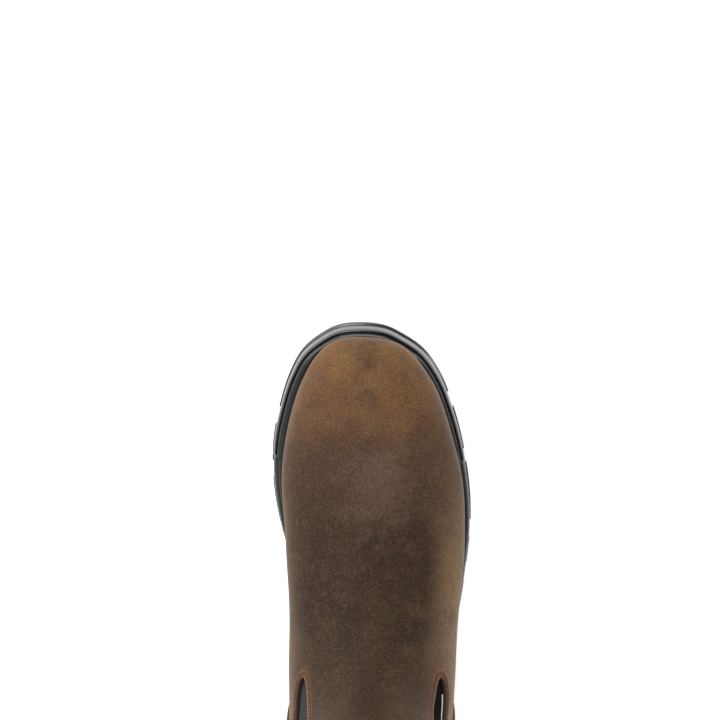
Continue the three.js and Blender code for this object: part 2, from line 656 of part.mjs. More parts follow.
// A webbing loop sewn over the backstay outside and to the lining inside.
function makePullLoop() {
  const half = loopThickness / 2;
  const outside = -(quarterLap + backstayThickness + 2 * clearance + half);
  const inside = leather + clearance + loopSag + half;
  const place = (z, offset) => new THREE.Vector3(backLine(Math.min(z, collarBack)) + offset, z, 0);
  const top = collarBack + loopRise - half;
  const belly = collarBack + loopRise * 0.55;
  const swell = loopRise * 0.16;
  const path = new THREE.CatmullRomCurve3([
    place(collarBack - loopOutside, outside),
    place(collarBack - loopOutside / 2, outside),
    place(collarBack, outside),
    place(belly, outside - swell),
    place(top, (outside + inside) / 2),
    place(belly, inside + swell),
    place(collarBack, inside),
    place(collarBack - loopInside / 2, inside),
    place(collarBack - loopInside, inside),
  ]);
  const steps = 24;
  const side = (by) => Array.from({ length: steps + 1 }, (_, i) => {
    const [p, t] = [path.getPoint(i / steps), path.getTangent(i / steps)];
    return [p.x - t.y * by, p.y + t.x * by];
  });
  return sidePrism([...side(half), ...side(-half).reverse()], -loopWidth / 2, loopWidth / 2);
}

const finishes = {
  leather: { color: 0x5a4636, roughness: 0.55, metalness: 0 },
  rubber: { color: 0x1c1d1c, roughness: 0.6, metalness: 0 },
  midsole: { color: 0x262726, roughness: 0.5, metalness: 0 },
  elastic: { color: 0x2b2e30, roughness: 0.9, metalness: 0 },
  insole: { color: 0x2a2a2a, roughness: 0.95, metalness: 0 },
  webbing: { color: 0x202020, roughness: 0.9, metalness: 0 },
};

const boot = new THREE.Group();
function put(name, finish, solid) {
  const mesh = new THREE.Mesh(geometryOf(solid), new THREE.MeshStandardMaterial(finishes[finish]));
  mesh.name = name;
  boot.add(mesh);
}

put('outsole', 'rubber', makeOutsole());
put('midsole', 'midsole', makeMidsole());
put('insole', 'insole', makeInsole());
put('upper', 'leather', makeUpper());
put('gore_medial', 'elastic', makeGore(1));
put('gore_lateral', 'elastic', makeGore(-1));
put('backstay', 'leather', makeBackstay());
put('pull_loop', 'webbing', makePullLoop());

const box = new THREE.Box3().setFromObject(boot);
const middle = box.getCenter(new THREE.Vector3());
boot.position.set(-middle.x, -middle.y, -box.min.z);

export default boot;
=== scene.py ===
import bpy
import numpy as np
from mathutils import Matrix, Vector


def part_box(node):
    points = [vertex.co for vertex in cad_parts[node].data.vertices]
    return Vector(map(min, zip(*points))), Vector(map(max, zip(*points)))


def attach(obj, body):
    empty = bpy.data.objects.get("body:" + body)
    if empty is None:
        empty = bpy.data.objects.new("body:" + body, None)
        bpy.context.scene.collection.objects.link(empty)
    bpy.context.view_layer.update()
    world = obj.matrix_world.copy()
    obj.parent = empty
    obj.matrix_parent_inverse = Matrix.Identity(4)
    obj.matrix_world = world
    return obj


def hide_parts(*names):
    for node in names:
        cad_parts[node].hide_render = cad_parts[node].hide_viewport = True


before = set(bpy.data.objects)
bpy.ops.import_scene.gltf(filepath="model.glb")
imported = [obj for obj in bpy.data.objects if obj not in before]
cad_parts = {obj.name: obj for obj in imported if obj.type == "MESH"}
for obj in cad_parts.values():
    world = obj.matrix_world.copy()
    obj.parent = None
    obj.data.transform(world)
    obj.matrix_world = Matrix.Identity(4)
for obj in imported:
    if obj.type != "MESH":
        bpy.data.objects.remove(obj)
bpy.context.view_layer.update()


# The camera. The photo looks down on the boot from a little in front of its toe, with the toe up in the
# picture and the heel beyond its lower edge. The lens is long, as for a catalogue picture.
toe_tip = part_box("outsole")[0].y
camera_distance = 1.585
seen_width = 0.429
tilt = np.radians(11)
aim = Vector((0.0072, toe_tip + 0.0202, 0.03))

camera_data = bpy.data.cameras.new("camera")
camera = bpy.data.objects.new("camera", camera_data)
bpy.context.scene.collection.objects.link(camera)
bpy.context.scene.camera = camera
camera_data.sensor_width = 36
camera_data.lens = camera_data.sensor_width * camera_distance / seen_width
towards_camera = Vector((0, -np.sin(tilt), np.cos(tilt)))
picture_right = Vector((-1, 0, 0))
picture_up = towards_camera.cross(picture_right)
turn = Matrix((picture_right, picture_up, towards_camera)).transposed().to_4x4()
camera.matrix_world = Matrix.Translation(aim + camera_distance * towards_camera) @ turn


# The outsole. Black oil-proof rubber moulded in one piece: lugs round its edge, chevrons down the middle, a
# heel block, and a band that wraps up the toe as a guard. Its edge is a smooth closed line, straighter on the
# medial side. Lengths are in millimetres; gap is the clearance between neighbouring pieces.
mm = 0.001
gap = 0.3
sole_length, sole_width = 322.0, 115.0
toe_spring, spring_start = 13.0, 241.0
lug_depth, slab, heel_height = 4.5, 4.0, 18.0
lug_proud, lug_reach, heel_breast = 1.3, 21.0, 90.0
toe_lug_reach, heel_lug_reach, bar_length = 15.0, 17.0, 11.0
lug_steps = 320
guard_height, guard_proud = 13.0, 0.6
forefoot_top = lug_depth + slab
centre_x = (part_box("pull_loop")[0].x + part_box("pull_loop")[1].x) / 2 / mm
sidewall_bulge = 0.3
heel_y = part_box("midsole")[1].y / mm - sidewall_bulge

# rows of sole_edge: from the heel, medial, lateral, as shares of the sole's length and width
sole_edge = np.array([
    (0, 0, 0), (0.021, 0.2, 0.2), (0.078, 0.317, 0.317), (0.155, 0.35, 0.357), (0.252, 0.345, 0.368),
    (0.349, 0.337, 0.405), (0.456, 0.367, 0.463), (0.554, 0.425, 0.503), (0.611, 0.47, 0.517),
    (0.67, 0.5, 0.514), (0.728, 0.512, 0.495), (0.786, 0.503, 0.463), (0.844, 0.47, 0.417),
    (0.902, 0.42, 0.354), (0.949, 0.351, 0.267), (0.978, 0.26, 0.16), (0.995, 0.172, 0.064),
    (1, 0.067, -0.067),
])

# from the heel as a share of the length, and how much of the heel's rise is left or the lift in mm
shank_fall = np.array([(0, 1), (0.272, 1), (0.363, 0.86), (0.464, 0.45), (0.565, 0.1), (0.625, 0), (1, 0)])
shank_lift = np.array([(0, 0), (0.303, 0), (0.403, 8), (0.504, 4), (0.605, 0), (1, 0)])


def place(from_heel, x, z):
    """Puts distance from the heel, x and height, in millimetres, into the frame in metres."""
    return np.stack(np.broadcast_arrays((x + centre_x) * mm, (heel_y - from_heel) * mm, z * mm), -1)


def along_sole(table, from_heel):
    """Reads a table of (share, value) with each step half straight and half eased: (t + t*t*(3 - 2t)) / 2."""
    share = np.clip(from_heel / sole_length, 0, 1)
    k = np.clip(np.searchsorted(table[:, 0], share, side="left"), 1, len(table) - 1)
    low, high = table[k - 1], table[k]
    t = (share - low[..., 0]) / (high[..., 0] - low[..., 0])
    return low[..., 1] + (high[..., 1] - low[..., 1]) * (t + t * t * (3 - 2 * t)) / 2


def ground(from_heel):
    """The tread leaves the floor past the ball of the foot: spring times the square of the share gone."""
    return toe_spring * (np.maximum(0, from_heel - spring_start) / (sole_length - spring_start)) ** 2


def outsole_top(from_heel):
    """Top of the outsole: the forefoot's height, plus the shank's rise to the heel, plus the toe spring."""
    return forefoot_top + (heel_height - forefoot_top) * along_sole(shank_fall, from_heel) + ground(from_heel)


def slab_bottom(from_heel):
    """Underside of the slab, one slab's thickness and a gap under the midsole."""
    return outsole_top(from_heel) - gap - slab


def lug_ground(from_heel):
    """Where lugs end: the ground line, lifted under the shank."""
    return ground(from_heel) + along_sole(shank_lift, from_heel)


def centripetal(points, at, closed):
    """Centripetal Catmull-Rom through points at parameters at: cubic Hermite pieces whose tangents come
    from the neighbours, weighted by the square roots of the distances between points."""
    n = len(points)
    spans = n if closed else n - 1
    scaled = at * spans
    k = np.clip(np.floor(scaled).astype(int), 0, spans - 1)
    t = (scaled - k)[:, None]
    if closed:
        p0, p1, p2, p3 = (points[(k + i) % n] for i in (-1, 0, 1, 2))
    else:
        ends = np.vstack([2 * points[0] - points[1], points, 2 * points[-1] - points[-2]])
        p0, p1, p2, p3 = (ends[k + i] for i in range(4))
    d0, d1, d2 = (np.sqrt(np.linalg.norm(b - a, axis=1))[:, None] for a, b in ((p0, p1), (p1, p2), (p2, p3)))
    m1 = ((p1 - p0) / d0 - (p2 - p0) / (d0 + d1) + (p2 - p1) / d1) * d1
    m2 = ((p2 - p1) / d1 - (p3 - p1) / (d1 + d2) + (p3 - p2) / d2) * d1
    return (
        (2 * t**3 - 3 * t**2 + 1) * p1 + (t**3 - 2 * t**2 + t) * m1
        + (3 * t**2 - 2 * t**3) * p2 + (t**3 - t**2) * m2
    )


medial_edge = np.column_stack([sole_edge[:, 1] * sole_width, sole_length * sole_edge[:, 0]])
lateral_edge = np.column_stack([-sole_edge[:, 2] * sole_width, sole_length * sole_edge[:, 0]])[-2:0:-1]
edge_points = np.vstack([medial_edge, lateral_edge])


def edge(at):
    """Points (x, from the heel) round the sole's edge, from the heel's back up the medial side and back
    down the lateral one, and the outward normal: the tangent turned by a right angle."""
    at = np.mod(at, 1.0)
    p = centripetal(edge_points, at, True)
    ahead = centripetal(edge_points, np.mod(at + 1e-4, 1), True)
    behind = centripetal(edge_points, np.mod(at - 1e-4, 1), True)
    tangent = ahead - behind
    tangent /= np.linalg.norm(tangent, axis=1)[:, None]
    return p, np.column_stack([tangent[:, 1], -tangent[:, 0]])


def edge_at(side, from_toe):
    """Parameter where the edge's medial (side 1) or lateral (-1) half is that far from the toe tip."""
    at = np.linspace(0, 0.5, 2000) if side > 0 else np.linspace(1, 0.5, 2000)
    return np.interp(sole_length - from_toe, edge(at)[0][:, 1], at)


def run_of(points):
    """Length along a line of points from its first to each of them."""
    return np.concatenate([[0], np.cumsum(np.linalg.norm(np.diff(points, axis=0), axis=1))])


def even_steps(values, lengths, count):
    """Picks count values so that the lengths between them are even."""
    return np.interp(np.linspace(0, lengths[-1], count), lengths, values)


def new_mesh(name, points, faces, smooth=True):
    """Makes an object at the origin from points in metres and faces, and links it to the scene."""
    mesh = bpy.data.meshes.new(name)
    faces = faces if isinstance(faces, list) else faces.tolist()
    mesh.from_pydata(np.asarray(points).reshape(-1, 3), [], faces)
    mesh.polygons.foreach_set("use_smooth", np.full(len(mesh.polygons), smooth))
    mesh.validate()
    mesh.update()
    piece = bpy.data.objects.new(name, mesh)
    bpy.context.scene.collection.objects.link(piece)
    return piece


def grid_faces(rows, columns, closed_columns=False):
    """Quads of a grid of points laid out row by row; closed_columns joins the last column to the first."""
    r, c = np.meshgrid(np.arange(rows - 1), np.arange(columns - (not closed_columns)), indexing="ij")
    here, beside = r * columns + c, r * columns + (c + 1) % columns
    return np.stack([here, beside, beside + columns, here + columns], -1).reshape(-1, 4)


def strip_cap(n, first=0):
    """Closes a ring of n points with strips between point j and point n - 1 - j."""
    j = np.arange(n // 2 - 1)
    return np.column_stack([j, j + 1, n - 2 - j, n - 1 - j]) + first


def tube_faces(rows, columns):
    """Quads of rows of points that each run round a tube, with a strip cap over the first and last row."""
    return np.vstack([
        grid_faces(rows, columns, True), strip_cap(columns), strip_cap(columns, (rows - 1) * columns)])


def at_height(p, height):
    """Turns places in plan (x, from the heel) and heights into (from the heel, x, height)."""
    return np.column_stack([p[:, 1], p[:, 0], height])


def joined(parts):
    """Puts several pairs of points and faces into one, each face counted on past the points before it."""
    starts = np.cumsum([0] + [len(p) for p, _ in parts[:-1]])
    faces = [f + start for (_, f), start in zip(parts, starts)]
    return np.concatenate([p for p, _ in parts]), np.concatenate(faces)


def outward(piece):
    """Joins points that lie on each other, then turns the piece's faces outwards."""
    bpy.context.view_layer.objects.active = piece
    bpy.ops.object.select_all(action="DESELECT")
    piece.select_set(True)
    bpy.ops.object.mode_set(mode="EDIT")
    bpy.ops.mesh.select_all(action="SELECT")
    bpy.ops.mesh.remove_doubles(threshold=1e-6)
    bpy.ops.mesh.normals_make_consistent(inside=False)
    bpy.ops.object.mode_set(mode="OBJECT")


def block(outline, low, high, chamfer=0.7):
    """A lug from a plan outline whose first half runs along one side and second half back along the other:
    rings at its foot and top, with the corner at the foot cut off by pulling the last ring in."""
    ahead, behind = np.roll(outline, -1, axis=0), np.roll(outline, 1, axis=0)
    middle = outline.mean(axis=0)
    tangent = ahead - behind
    normal = np.column_stack([tangent[:, 1], -tangent[:, 0]])
    normal /= np.linalg.norm(normal, axis=1)[:, None]
    if ((outline - middle) * normal).sum() < 0:
        normal = -normal
    rows = []
    for inset, height in ((chamfer, low), (0.0, lambda s: low(s) + chamfer), (0.0, high)):
        p = outline - normal * inset
        rows.append(at_height(p, height(p[:, 1])))
    return np.concatenate(rows), tube_faces(3, len(outline))


def edge_block(start, end, reach_in):
    """A lug along the sole's edge between two places on it."""
    at = np.linspace(start, end, max(8, int(abs(end - start) * lug_steps)))
    p, out = edge(at)
    return block(np.vstack([p + out * lug_proud, (p - out * reach_in)[::-1]]), lug_ground, lug_top)


def lug_top(from_heel):
    """Lugs run half way up into the slab."""
    return slab_bottom(from_heel) + slab / 2


def middle_block(share, width, point):
    """A chevron or bar across the middle: two lines bent to a point, the second one bar's length behind."""
    front = sole_length * (1 - share)
    bend = np.array([(-width / 2, front - point), (0, front), (width / 2, front - point)])
    back = bend[::-1] - (0, bar_length)
    return block(np.vstack([bend, back]), lug_ground, lug_top)


edge_count = 720
all_round = np.linspace(0, 1, 4001)
edge_share = even_steps(all_round, run_of(edge(all_round)[0]), edge_count + 1)[:-1]
edge_point, edge_out = edge(edge_share)
edge_s = edge_point[:, 1]

# out from the sole's edge, and up from the slab's underside, in mm
slab_rows = [
    (-0.8, 0.0), (-0.2, 0.15), (0.1, 0.5), (0.2, 1.0), (0.2, 3.0), (0.1, 3.6), (-0.2, 3.9), (-0.8, 4.0)]
rings = []
for out, up in slab_rows:
    rings.append(at_height(edge_point + edge_out * out, slab_bottom(edge_s) + up))
parts = [(np.concatenate(rings), tube_faces(len(rings), edge_count))]

heel_from = edge_at(-1, sole_length - heel_breast)
heel_to = 1 + edge_at(1, sole_length - heel_breast)
p, out = edge(np.linspace(heel_from, heel_to, 240))
parts.append(block(p + out * 0.2, lambda s: lug_depth + 0 * s, lug_top, 0.4))

# where each side lug starts and ends, from the toe as shares of the length
medial_lugs = [(0.197, 0.266), (0.3, 0.385), (0.42, 0.468), (0.506, 0.556)]
lateral_lugs = [(0.164, 0.244), (0.272, 0.381), (0.415, 0.463), (0.499, 0.549)]
heel_lugs = [(0.741, 0.804), (0.835, 0.903)]
for hand_side, lugs in ((1, medial_lugs), (-1, lateral_lugs)):
    for start, end in lugs + heel_lugs:
        parts.append(edge_block(
            edge_at(hand_side, start * sole_length), edge_at(hand_side, end * sole_length), lug_reach))
parts.append(edge_block(edge_at(1, 0.162 * sole_length), edge_at(-1, 0.132 * sole_length), toe_lug_reach))
parts.append(edge_block(edge_at(-1, 0.93 * sole_length), 1 + edge_at(1, 0.93 * sole_length), heel_lug_reach))
parts += [middle_block(share, 44, 7) for share in (0.135, 0.188, 0.241, 0.294, 0.347, 0.4)]
parts += [middle_block(share, 26.4, 0) for share in (0.77, 0.835, 0.9)]

# The guard's ends, from the toe, and its section: inwards from its face, and up as a share of its height.
guard_end = {1: 0.249 * sole_length, -1: 0.261 * sole_length}
guard_rows = np.array([
    (1.9, -0.1), (1.9, 0.85), (1.86, 0.93), (1.72, 0.975), (1.45, 1.0), (1.1, 0.995), (0.75, 0.965),
    (0.45, 0.92), (0.2, 0.85), (0.06, 0.77), (0.0, 0.66), (0.0, 0.3), (0.0, -0.1)])
guard_fade = 4.0
at = np.linspace(edge_at(1, guard_end[1]), edge_at(-1, guard_end[-1]), 420)
p, out = edge(at)
run = run_of(p)
to_end = np.minimum(run, run[-1] - run)
shoulder = np.sqrt(np.clip(1 - (1 - np.clip(to_end / guard_fade, 0, 1)) ** 2, 0, 1))
rings = []
for inward, up in guard_rows:
    where = p + out * (guard_proud - inward)
    rise_here = np.where(up > 0.3, 0.3 + (up - 0.3) * (0.25 + 0.75 * shoulder), up)
    height = outsole_top(p[:, 1]) + guard_height * rise_here
    rings.append(at_height(where, height))
parts.append((np.stack(rings, axis=1).reshape(-1, 3), tube_faces(len(p), len(guard_rows))))
points, faces = joined(parts)
outsole = new_mesh("tread", place(*points.T), faces)
outward(outsole)


class Socket:
    """A shader socket with the usual operators, each of which adds a Math node."""

    def __init__(self, tree, link):
        self.tree, self.link = tree, link

    def _maths(self, operation, other, swapped=False):
        first, second = (other, self) if swapped else (self, other)
        return self.tree.add("ShaderNodeMath", {"operation": operation}, {0: first, 1: second})

    def __add__(self, other):
        return self._maths("ADD", other)

    def __sub__(self, other):
        return self._maths("SUBTRACT", other)

    def __mul__(self, other):
        return self._maths("MULTIPLY", other)

    def __truediv__(self, other):
        return self._maths("DIVIDE", other)

    def __pow__(self, other):
        return self._maths("POWER", other)

    def __rsub__(self, other):
        return self._maths("SUBTRACT", other, True)

    __radd__, __rmul__ = __add__, __mul__


class Finish:
    """A material with one Principled shader, and one method that adds any other node."""

    def __init__(self, name):
        """Starts the material, with its place on the object as three sockets x, y and z."""
        self.material = bpy.data.materials.new(name)
        self.material.use_nodes = True
        self.nodes, self.links = self.material.node_tree.nodes, self.material.node_tree.links
        self.shader = self.nodes["Principled BSDF"]
        coords = self.nodes.new("ShaderNodeTexCoord")
        self.object = Socket(self, coords.outputs["Object"])
        self.x, self.y, self.z = self.split(self.object)

    def feed(self, socket, value):
        """Links a socket to an input, or sets the input's own value."""
        if isinstance(value, Socket):
            self.links.new(value.link, socket)
        elif isinstance(value, (tuple, list)) and socket.type == "RGBA":
            socket.default_value = (*value[:3], 1)
        else:
            socket.default_value = value

    def add(self, kind, settings=None, inputs=None, output=0):
        """Adds a node of a kind: its settings first, then the values or links of its sockets."""
        node = self.nodes.new(kind)
        for name, value in (settings or {}).items():
            if name == "stops":
                node.color_ramp.interpolation = "EASE"
                while len(node.color_ramp.elements) < len(value):
                    node.color_ramp.elements.new(1)
                for stop, (where, colour) in zip(node.color_ramp.elements, value):
                    stop.position, stop.color = where, (*colour, 1)
            else:
                setattr(node, name, value)
        for name, value in (inputs or {}).items():
            self.feed(node.inputs[name], value)
        return Socket(self, node.outputs[output])

    def split(self, vector):
        """The three parts of a vector."""
        node = self.nodes.new("ShaderNodeSeparateXYZ")
        self.links.new(vector.link, node.inputs[0])
        return tuple(Socket(self, node.outputs[i]) for i in range(3))

    def noise(self, scale, detail=3.0, roughness=0.5, stretch=(1, 1, 1), shift=(0, 0, 0)):
        """Noise with features about 1/scale metres across, drawn out by the inverse of stretch."""
        vector = self.add(
            "ShaderNodeMapping", {}, {"Vector": self.object, "Scale": stretch, "Location": shift})
        return self.add(
            "ShaderNodeTexNoise", {},
            {"Vector": vector, "Scale": scale, "Detail": detail, "Roughness": roughness})

    def ease(self, value, low, high):
        """0 below low and 1 above high, with a smooth step between."""
        return self.add(
            "ShaderNodeMapRange", {"interpolation_type": "SMOOTHSTEP"},
            {"Value": value, "From Min": low, "From Max": high})

    def ramp(self, value, stops):
        """Colours set out along a value from 0 to 1, eased between stops."""
        return self.add("ShaderNodeValToRGB", {"stops": stops}, {"Fac": value})

    def size(self, value):
        """The value without its sign."""
        return self.add("ShaderNodeMath", {"operation": "ABSOLUTE"}, {0: value})

    def spot(self, x, y, radius, ragged):
        """1 at a place seen from above, falling to 0 at the radius, with its edge broken by a noise."""
        away = ((self.x - x) * (self.x - x) + (self.y - y) * (self.y - y)) ** 0.5
        return 1 - self.ease(away + (ragged - 0.5) * radius * 1.6, radius * 0.2, radius)

    def attribute(self, name):
        """A number stored on the piece's points, or 0 where the piece has none by that name."""
        return self.add("ShaderNodeAttribute", {"attribute_name": name}, output="Fac")

    def mix(self, share, first, second):
        """Colour mix from first to second."""
        node = self.nodes.new("ShaderNodeMix")
        node.data_type, node.clamp_factor = "RGBA", True
        for socket, value in ((node.inputs[0], share), (node.inputs[6], first), (node.inputs[7], second)):
            self.feed(socket, value)
        return Socket(self, node.outputs[2])

    def bump(self, height, distance, strength=1.0, under=None):
        """Normals of a relief whose full height is distance in metres, over another bump if there is one."""
        inputs = {"Height": height, "Distance": distance, "Strength": strength}
        if under is not None:
            inputs["Normal"] = under
        return self.add("ShaderNodeBump", {}, inputs)

    def set(self, **values):
        """Sets or links the shader's sockets by name and hands back the material."""
        for name, value in values.items():
            self.feed(self.shader.inputs[name.replace("_", " ")], value)
        return self.material


def srgb(red, green, blue):
    """A colour of the picture, 0 to 255, as the light that the shader works in."""
    c = np.array([red, green, blue]) / 255
    return tuple(float(v) for v in np.where(c <= 0.04045, c / 12.92, ((c + 0.055) / 1.055) ** 2.4))


def rubber_finish(name, face, worn, gloss):
    """Moulded rubber: nearly black with a faint mould texture, a dusty bloom in patches, and the mould's
    parting line across the front of the toe."""
    f = Finish(name)
    cloud, fine = f.noise(60, 4), f.noise(1800, 3, 0.6)
    bloom = f.ease(cloud, 0.5, 0.75)
    colour = f.mix(bloom * 0.5, face, worn)
    parting = (1 - f.ease(f.size(f.x - 0.0046), 0.0002, 0.0006)) * f.ease(f.z, 0.018, 0.02)
    colour = f.mix(parting * 0.7, colour, srgb(8, 8, 9))
    return f.set(
        Base_Color=colour, Roughness=gloss + 0.1 * cloud + 0.08 * fine + 0.5 * f.attribute("dull"),
        Normal=f.bump(fine, 0.00008, 0.35), Specular_IOR_Level=0.7)


outsole.data.materials.append(rubber_finish("outsole_rubber", srgb(25, 26, 27), srgb(42, 43, 42), 0.2))
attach(outsole, "root")
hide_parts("outsole")


# The upper. One piece of thick oiled leather makes the vamp and the front of the shaft, lasted over a full
# toe and turned in under the foot. Each section lies in a plane through its top point on the ridge and its
# bottom point on the bed or up the back of the heel, and is a flat, a side arc and a crown arc.
midsole_forefoot, midsole_heel = 8.7, 10.2
forefoot_bed = forefoot_top + midsole_forefoot


def bed(from_heel):
    """Where the upper's underside lies: the outsole's top plus the midsole, thicker under the heel."""
    shank = along_sole(shank_fall, from_heel)
    return outsole_top(from_heel) + midsole_forefoot + (midsole_heel - midsole_forefoot) * shank


toe_height = 52.0
collar_front, collar_back, collar_dip = 160.0, 167.0, 3.0
collar_length = 0.365 * sole_length
shaft_height = collar_back - forefoot_bed
leather, quarter_lap = 2.2, 1.2
toe, shaft = toe_height, shaft_height
# Rows of sections: rise, top from the heel, top up, bottom from the heel, bottom up, spine, medial and
# lateral reach, widest place, crown and side exponents, medial and lateral flat, as shares of the rise, the
# sole's length or its width.
sections = np.array([
    (toe, 0.9918, 0.515, 0.9918, 0.292, 0.07, 0.07, -0.07, 0.5, 2.3, 2.3, 0.3, 0.3),
    (toe, 0.9899, 0.65, 0.9894, 0.179, 0.066, 0.146, 0.03, 0.5, 2.35, 2.3, 0.4, 0.4),
    (toe, 0.9801, 0.755, 0.9801, 0.083, 0.058, 0.214, 0.126, 0.48, 2.4, 2.3, 0.55, 0.55),
    (toe, 0.962, 0.84, 0.962, 0.04, 0.05, 0.272, 0.202, 0.45, 2.45, 2.3, 0.65, 0.65),
    (toe, 0.9322, 0.915, 0.9322, 0.027, 0.041, 0.328, 0.268, 0.42, 2.45, 2.3, 0.7, 0.7),
    (toe, 0.8809, 0.977, 0.8809, 0.02, 0.032, 0.388, 0.349, 0.4, 2.4, 2.3, 0.74, 0.74),
    (toe, 0.8034, 1.042, 0.8034, 0.015, 0.02, 0.443, 0.418, 0.38, 2.3, 2.3, 0.76, 0.74),
    (toe, 0.7182, 1.15, 0.7182, 0, 0.014, 0.467, 0.474, 0.38, 2.15, 2.2, 0.74, 0.74),
    (shaft, 0.6113, 0.459, 0.6052, 0, 0.009, 0.45, 0.489, 0.4, 2, 2.1, 0.66, 0.72),
    (shaft, 0.5366, 0.535, 0.4963, 0, 0.005, 0.432, 0.464, 0.44, 1.95, 1.95, 0.52, 0.62),
    (shaft, 0.4721, 0.62, 0.3752, 0, 0.002, 0.43, 0.442, 0.46, 1.95, 1.95, 0.46, 0.56),
    (shaft, 0.4252, 0.703, 0.233, 0, 0, 0.427, 0.426, 0.46, 2, 2, 0.5, 0.54),
    (shaft, 0.4005, 0.783, 0.1059, 0, 0, 0.428, 0.408, 0.48, 2.05, 2.15, 0.42, 0.44),
    (shaft, 0.3863, 0.848, 0.03026, 0.049, 0, 0.425, 0.412, 0.5, 2.1, 2.2, 0.2, 0.22),
    (shaft, 0.3762, 0.907, 0.01866, 0.227, 0, 0.415, 0.403, 0.52, 2.1, 2.2, 0.12, 0.12),
    (shaft, 0.3692, 0.96, 0.03026, 0.482, 0, 0.405, 0.395, 0.52, 2.15, 2.2, 0.1, 0.1),
    (shaft, 0.3646, 1.013, 0.03883, 0.737, 0, 0.398, 0.39, 0.51, 2.15, 2.2, 0.1, 0.1),
    (shaft, 0.3616, 1.072, 0.03883, 0.993, 0, 0.395, 0.389, 0.5, 2.15, 2.2, 0.1, 0.1),
])
last_section = len(sections) - 1
(rise, top_s, top_up, bottom_s, bottom_up, spine,
 medial, lateral, widest, crown, side, flat_m, flat_l) = sections.T
top_z = forefoot_bed + top_up * rise
bottom_z = bed(bottom_s * sole_length) + bottom_up * rise


def along_form(column, at, past=None):
    """Uniform Catmull-Rom through a column's rows: cubics whose slope at a row is half the step between its
    neighbours. past is the value before the toe tip's row."""
    past = column[1] if past is None else past
    values = np.concatenate([[past], column, [2 * column[-1] - column[-2]]])
    k = np.clip(np.floor(at).astype(int), 0, last_section - 1)
    t = at - k
    a, b, c, d = (values[k + i] for i in range(4))
    return b + 0.5 * ((c - a) * t + (2 * a - 5 * b + 4 * c - d) * t**2 + (3 * b - a - 3 * c + d) * t**3)


def section_ends(at):
    """Top and bottom points of the section at a place along the form, as (from heel, height)."""
    top_from_heel = along_form(top_s * sole_length, at, bottom_s[1] * sole_length)
    bottom_from_heel = along_form(bottom_s * sole_length, at, top_s[1] * sole_length)
    top = np.stack([top_from_heel, along_form(top_z, at, bottom_z[1])], -1)
    bottom = np.stack([bottom_from_heel, along_form(bottom_z, at, top_z[1])], -1)
    return top, bottom


def half_width(at, right):
    """Half width of the section on the medial (right true) or lateral side, and its middle."""
    middle = along_form(spine, at) * sole_width
    reach_m = along_form(medial, at, 2 * spine[1] - medial[1]) * sole_width - middle
    reach_l = along_form(lateral, at, -2 * spine[1] - lateral[1]) * sole_width + middle
    return np.where(right, reach_m, reach_l), middle


def form(at, around):
    """The upper's outer face, in mm as (from heel, x, z). around is 0 in the middle of the bottom, 1 on the
    ridge and 2 back at the bottom by the lateral side. A half is a flat to 0.12, a superellipse quarter out
    to the widest place at 0.45, and one in to the ridge."""
    at, around = np.broadcast_arrays(np.asarray(at, float), np.asarray(around, float))
    right = around <= 1
    h = np.where(right, around, 2 - around)
    wide = along_form(widest, at)
    flat = np.where(right, along_form(flat_m, at), along_form(flat_l, at))
    a = np.pi / 2 * (1 - np.clip((h - 0.12) / 0.33, 0, 1))
    side_out = flat + (1 - flat) * np.maximum(np.cos(a), 0) ** (2 / along_form(side, at))
    side_up = wide * (1 - np.sin(a) ** (2 / along_form(side, at)))
    b = np.pi / 2 * np.clip((h - 0.45) / 0.55, 0, 1)
    crown_out = np.maximum(np.cos(b), 0) ** (2 / along_form(crown, at))
    crown_up = wide + (1 - wide) * np.sin(b) ** (2 / along_form(crown, at))
    out = np.where(h < 0.12, flat * h / 0.12, np.where(h < 0.45, side_out, crown_out))
    up = np.where(h < 0.12, 0, np.where(h < 0.45, side_up, crown_up))
    reach, middle = half_width(at, right)
    top, bottom = section_ends(at)
    sz = bottom + (top - bottom) * up[..., None]
    return np.stack([sz[..., 0], middle + np.where(right, 1, -1) * out * reach, sz[..., 1]], -1)


def side_face(from_heel, height, face_side):
    """Seen from the side, how far out the upper's face is at a distance from the heel and a height: the
    section through that point is found by halving, and its superellipses are solved for the width."""
    low, high = np.zeros_like(from_heel), np.full_like(from_heel, last_section)
    for _ in range(24):
        at = (low + high) / 2
        top, bottom = section_ends(at)
        d = top - bottom
        before = (from_heel - bottom[..., 0]) * d[..., 1] < (height - bottom[..., 1]) * d[..., 0]
        low, high = np.where(before, at, low), np.where(before, high, at)
    top, bottom = section_ends(at)
    d = top - bottom
    up = ((from_heel - bottom[..., 0]) * d[..., 0] + (height - bottom[..., 1]) * d[..., 1]) / (d**2).sum(-1)
    wide = along_form(widest, at)
    flat = along_form(flat_m if face_side > 0 else flat_l, at)
    n, m = along_form(crown, at), along_form(side, at)
    over = np.clip((up - wide) / (1 - wide), 0, 1)
    under = np.clip((wide - up) / wide, 0, 1)
    out = np.where(up > wide, (1 - over**n) ** (1 / n), flat + (1 - flat) * (1 - under**m) ** (1 / m))
    reach, middle = half_width(at, np.full(at.shape, face_side > 0))
    inside = (up > 0) & (up < 1)
    return np.where(inside, face_side * middle + out * reach, -1.0)


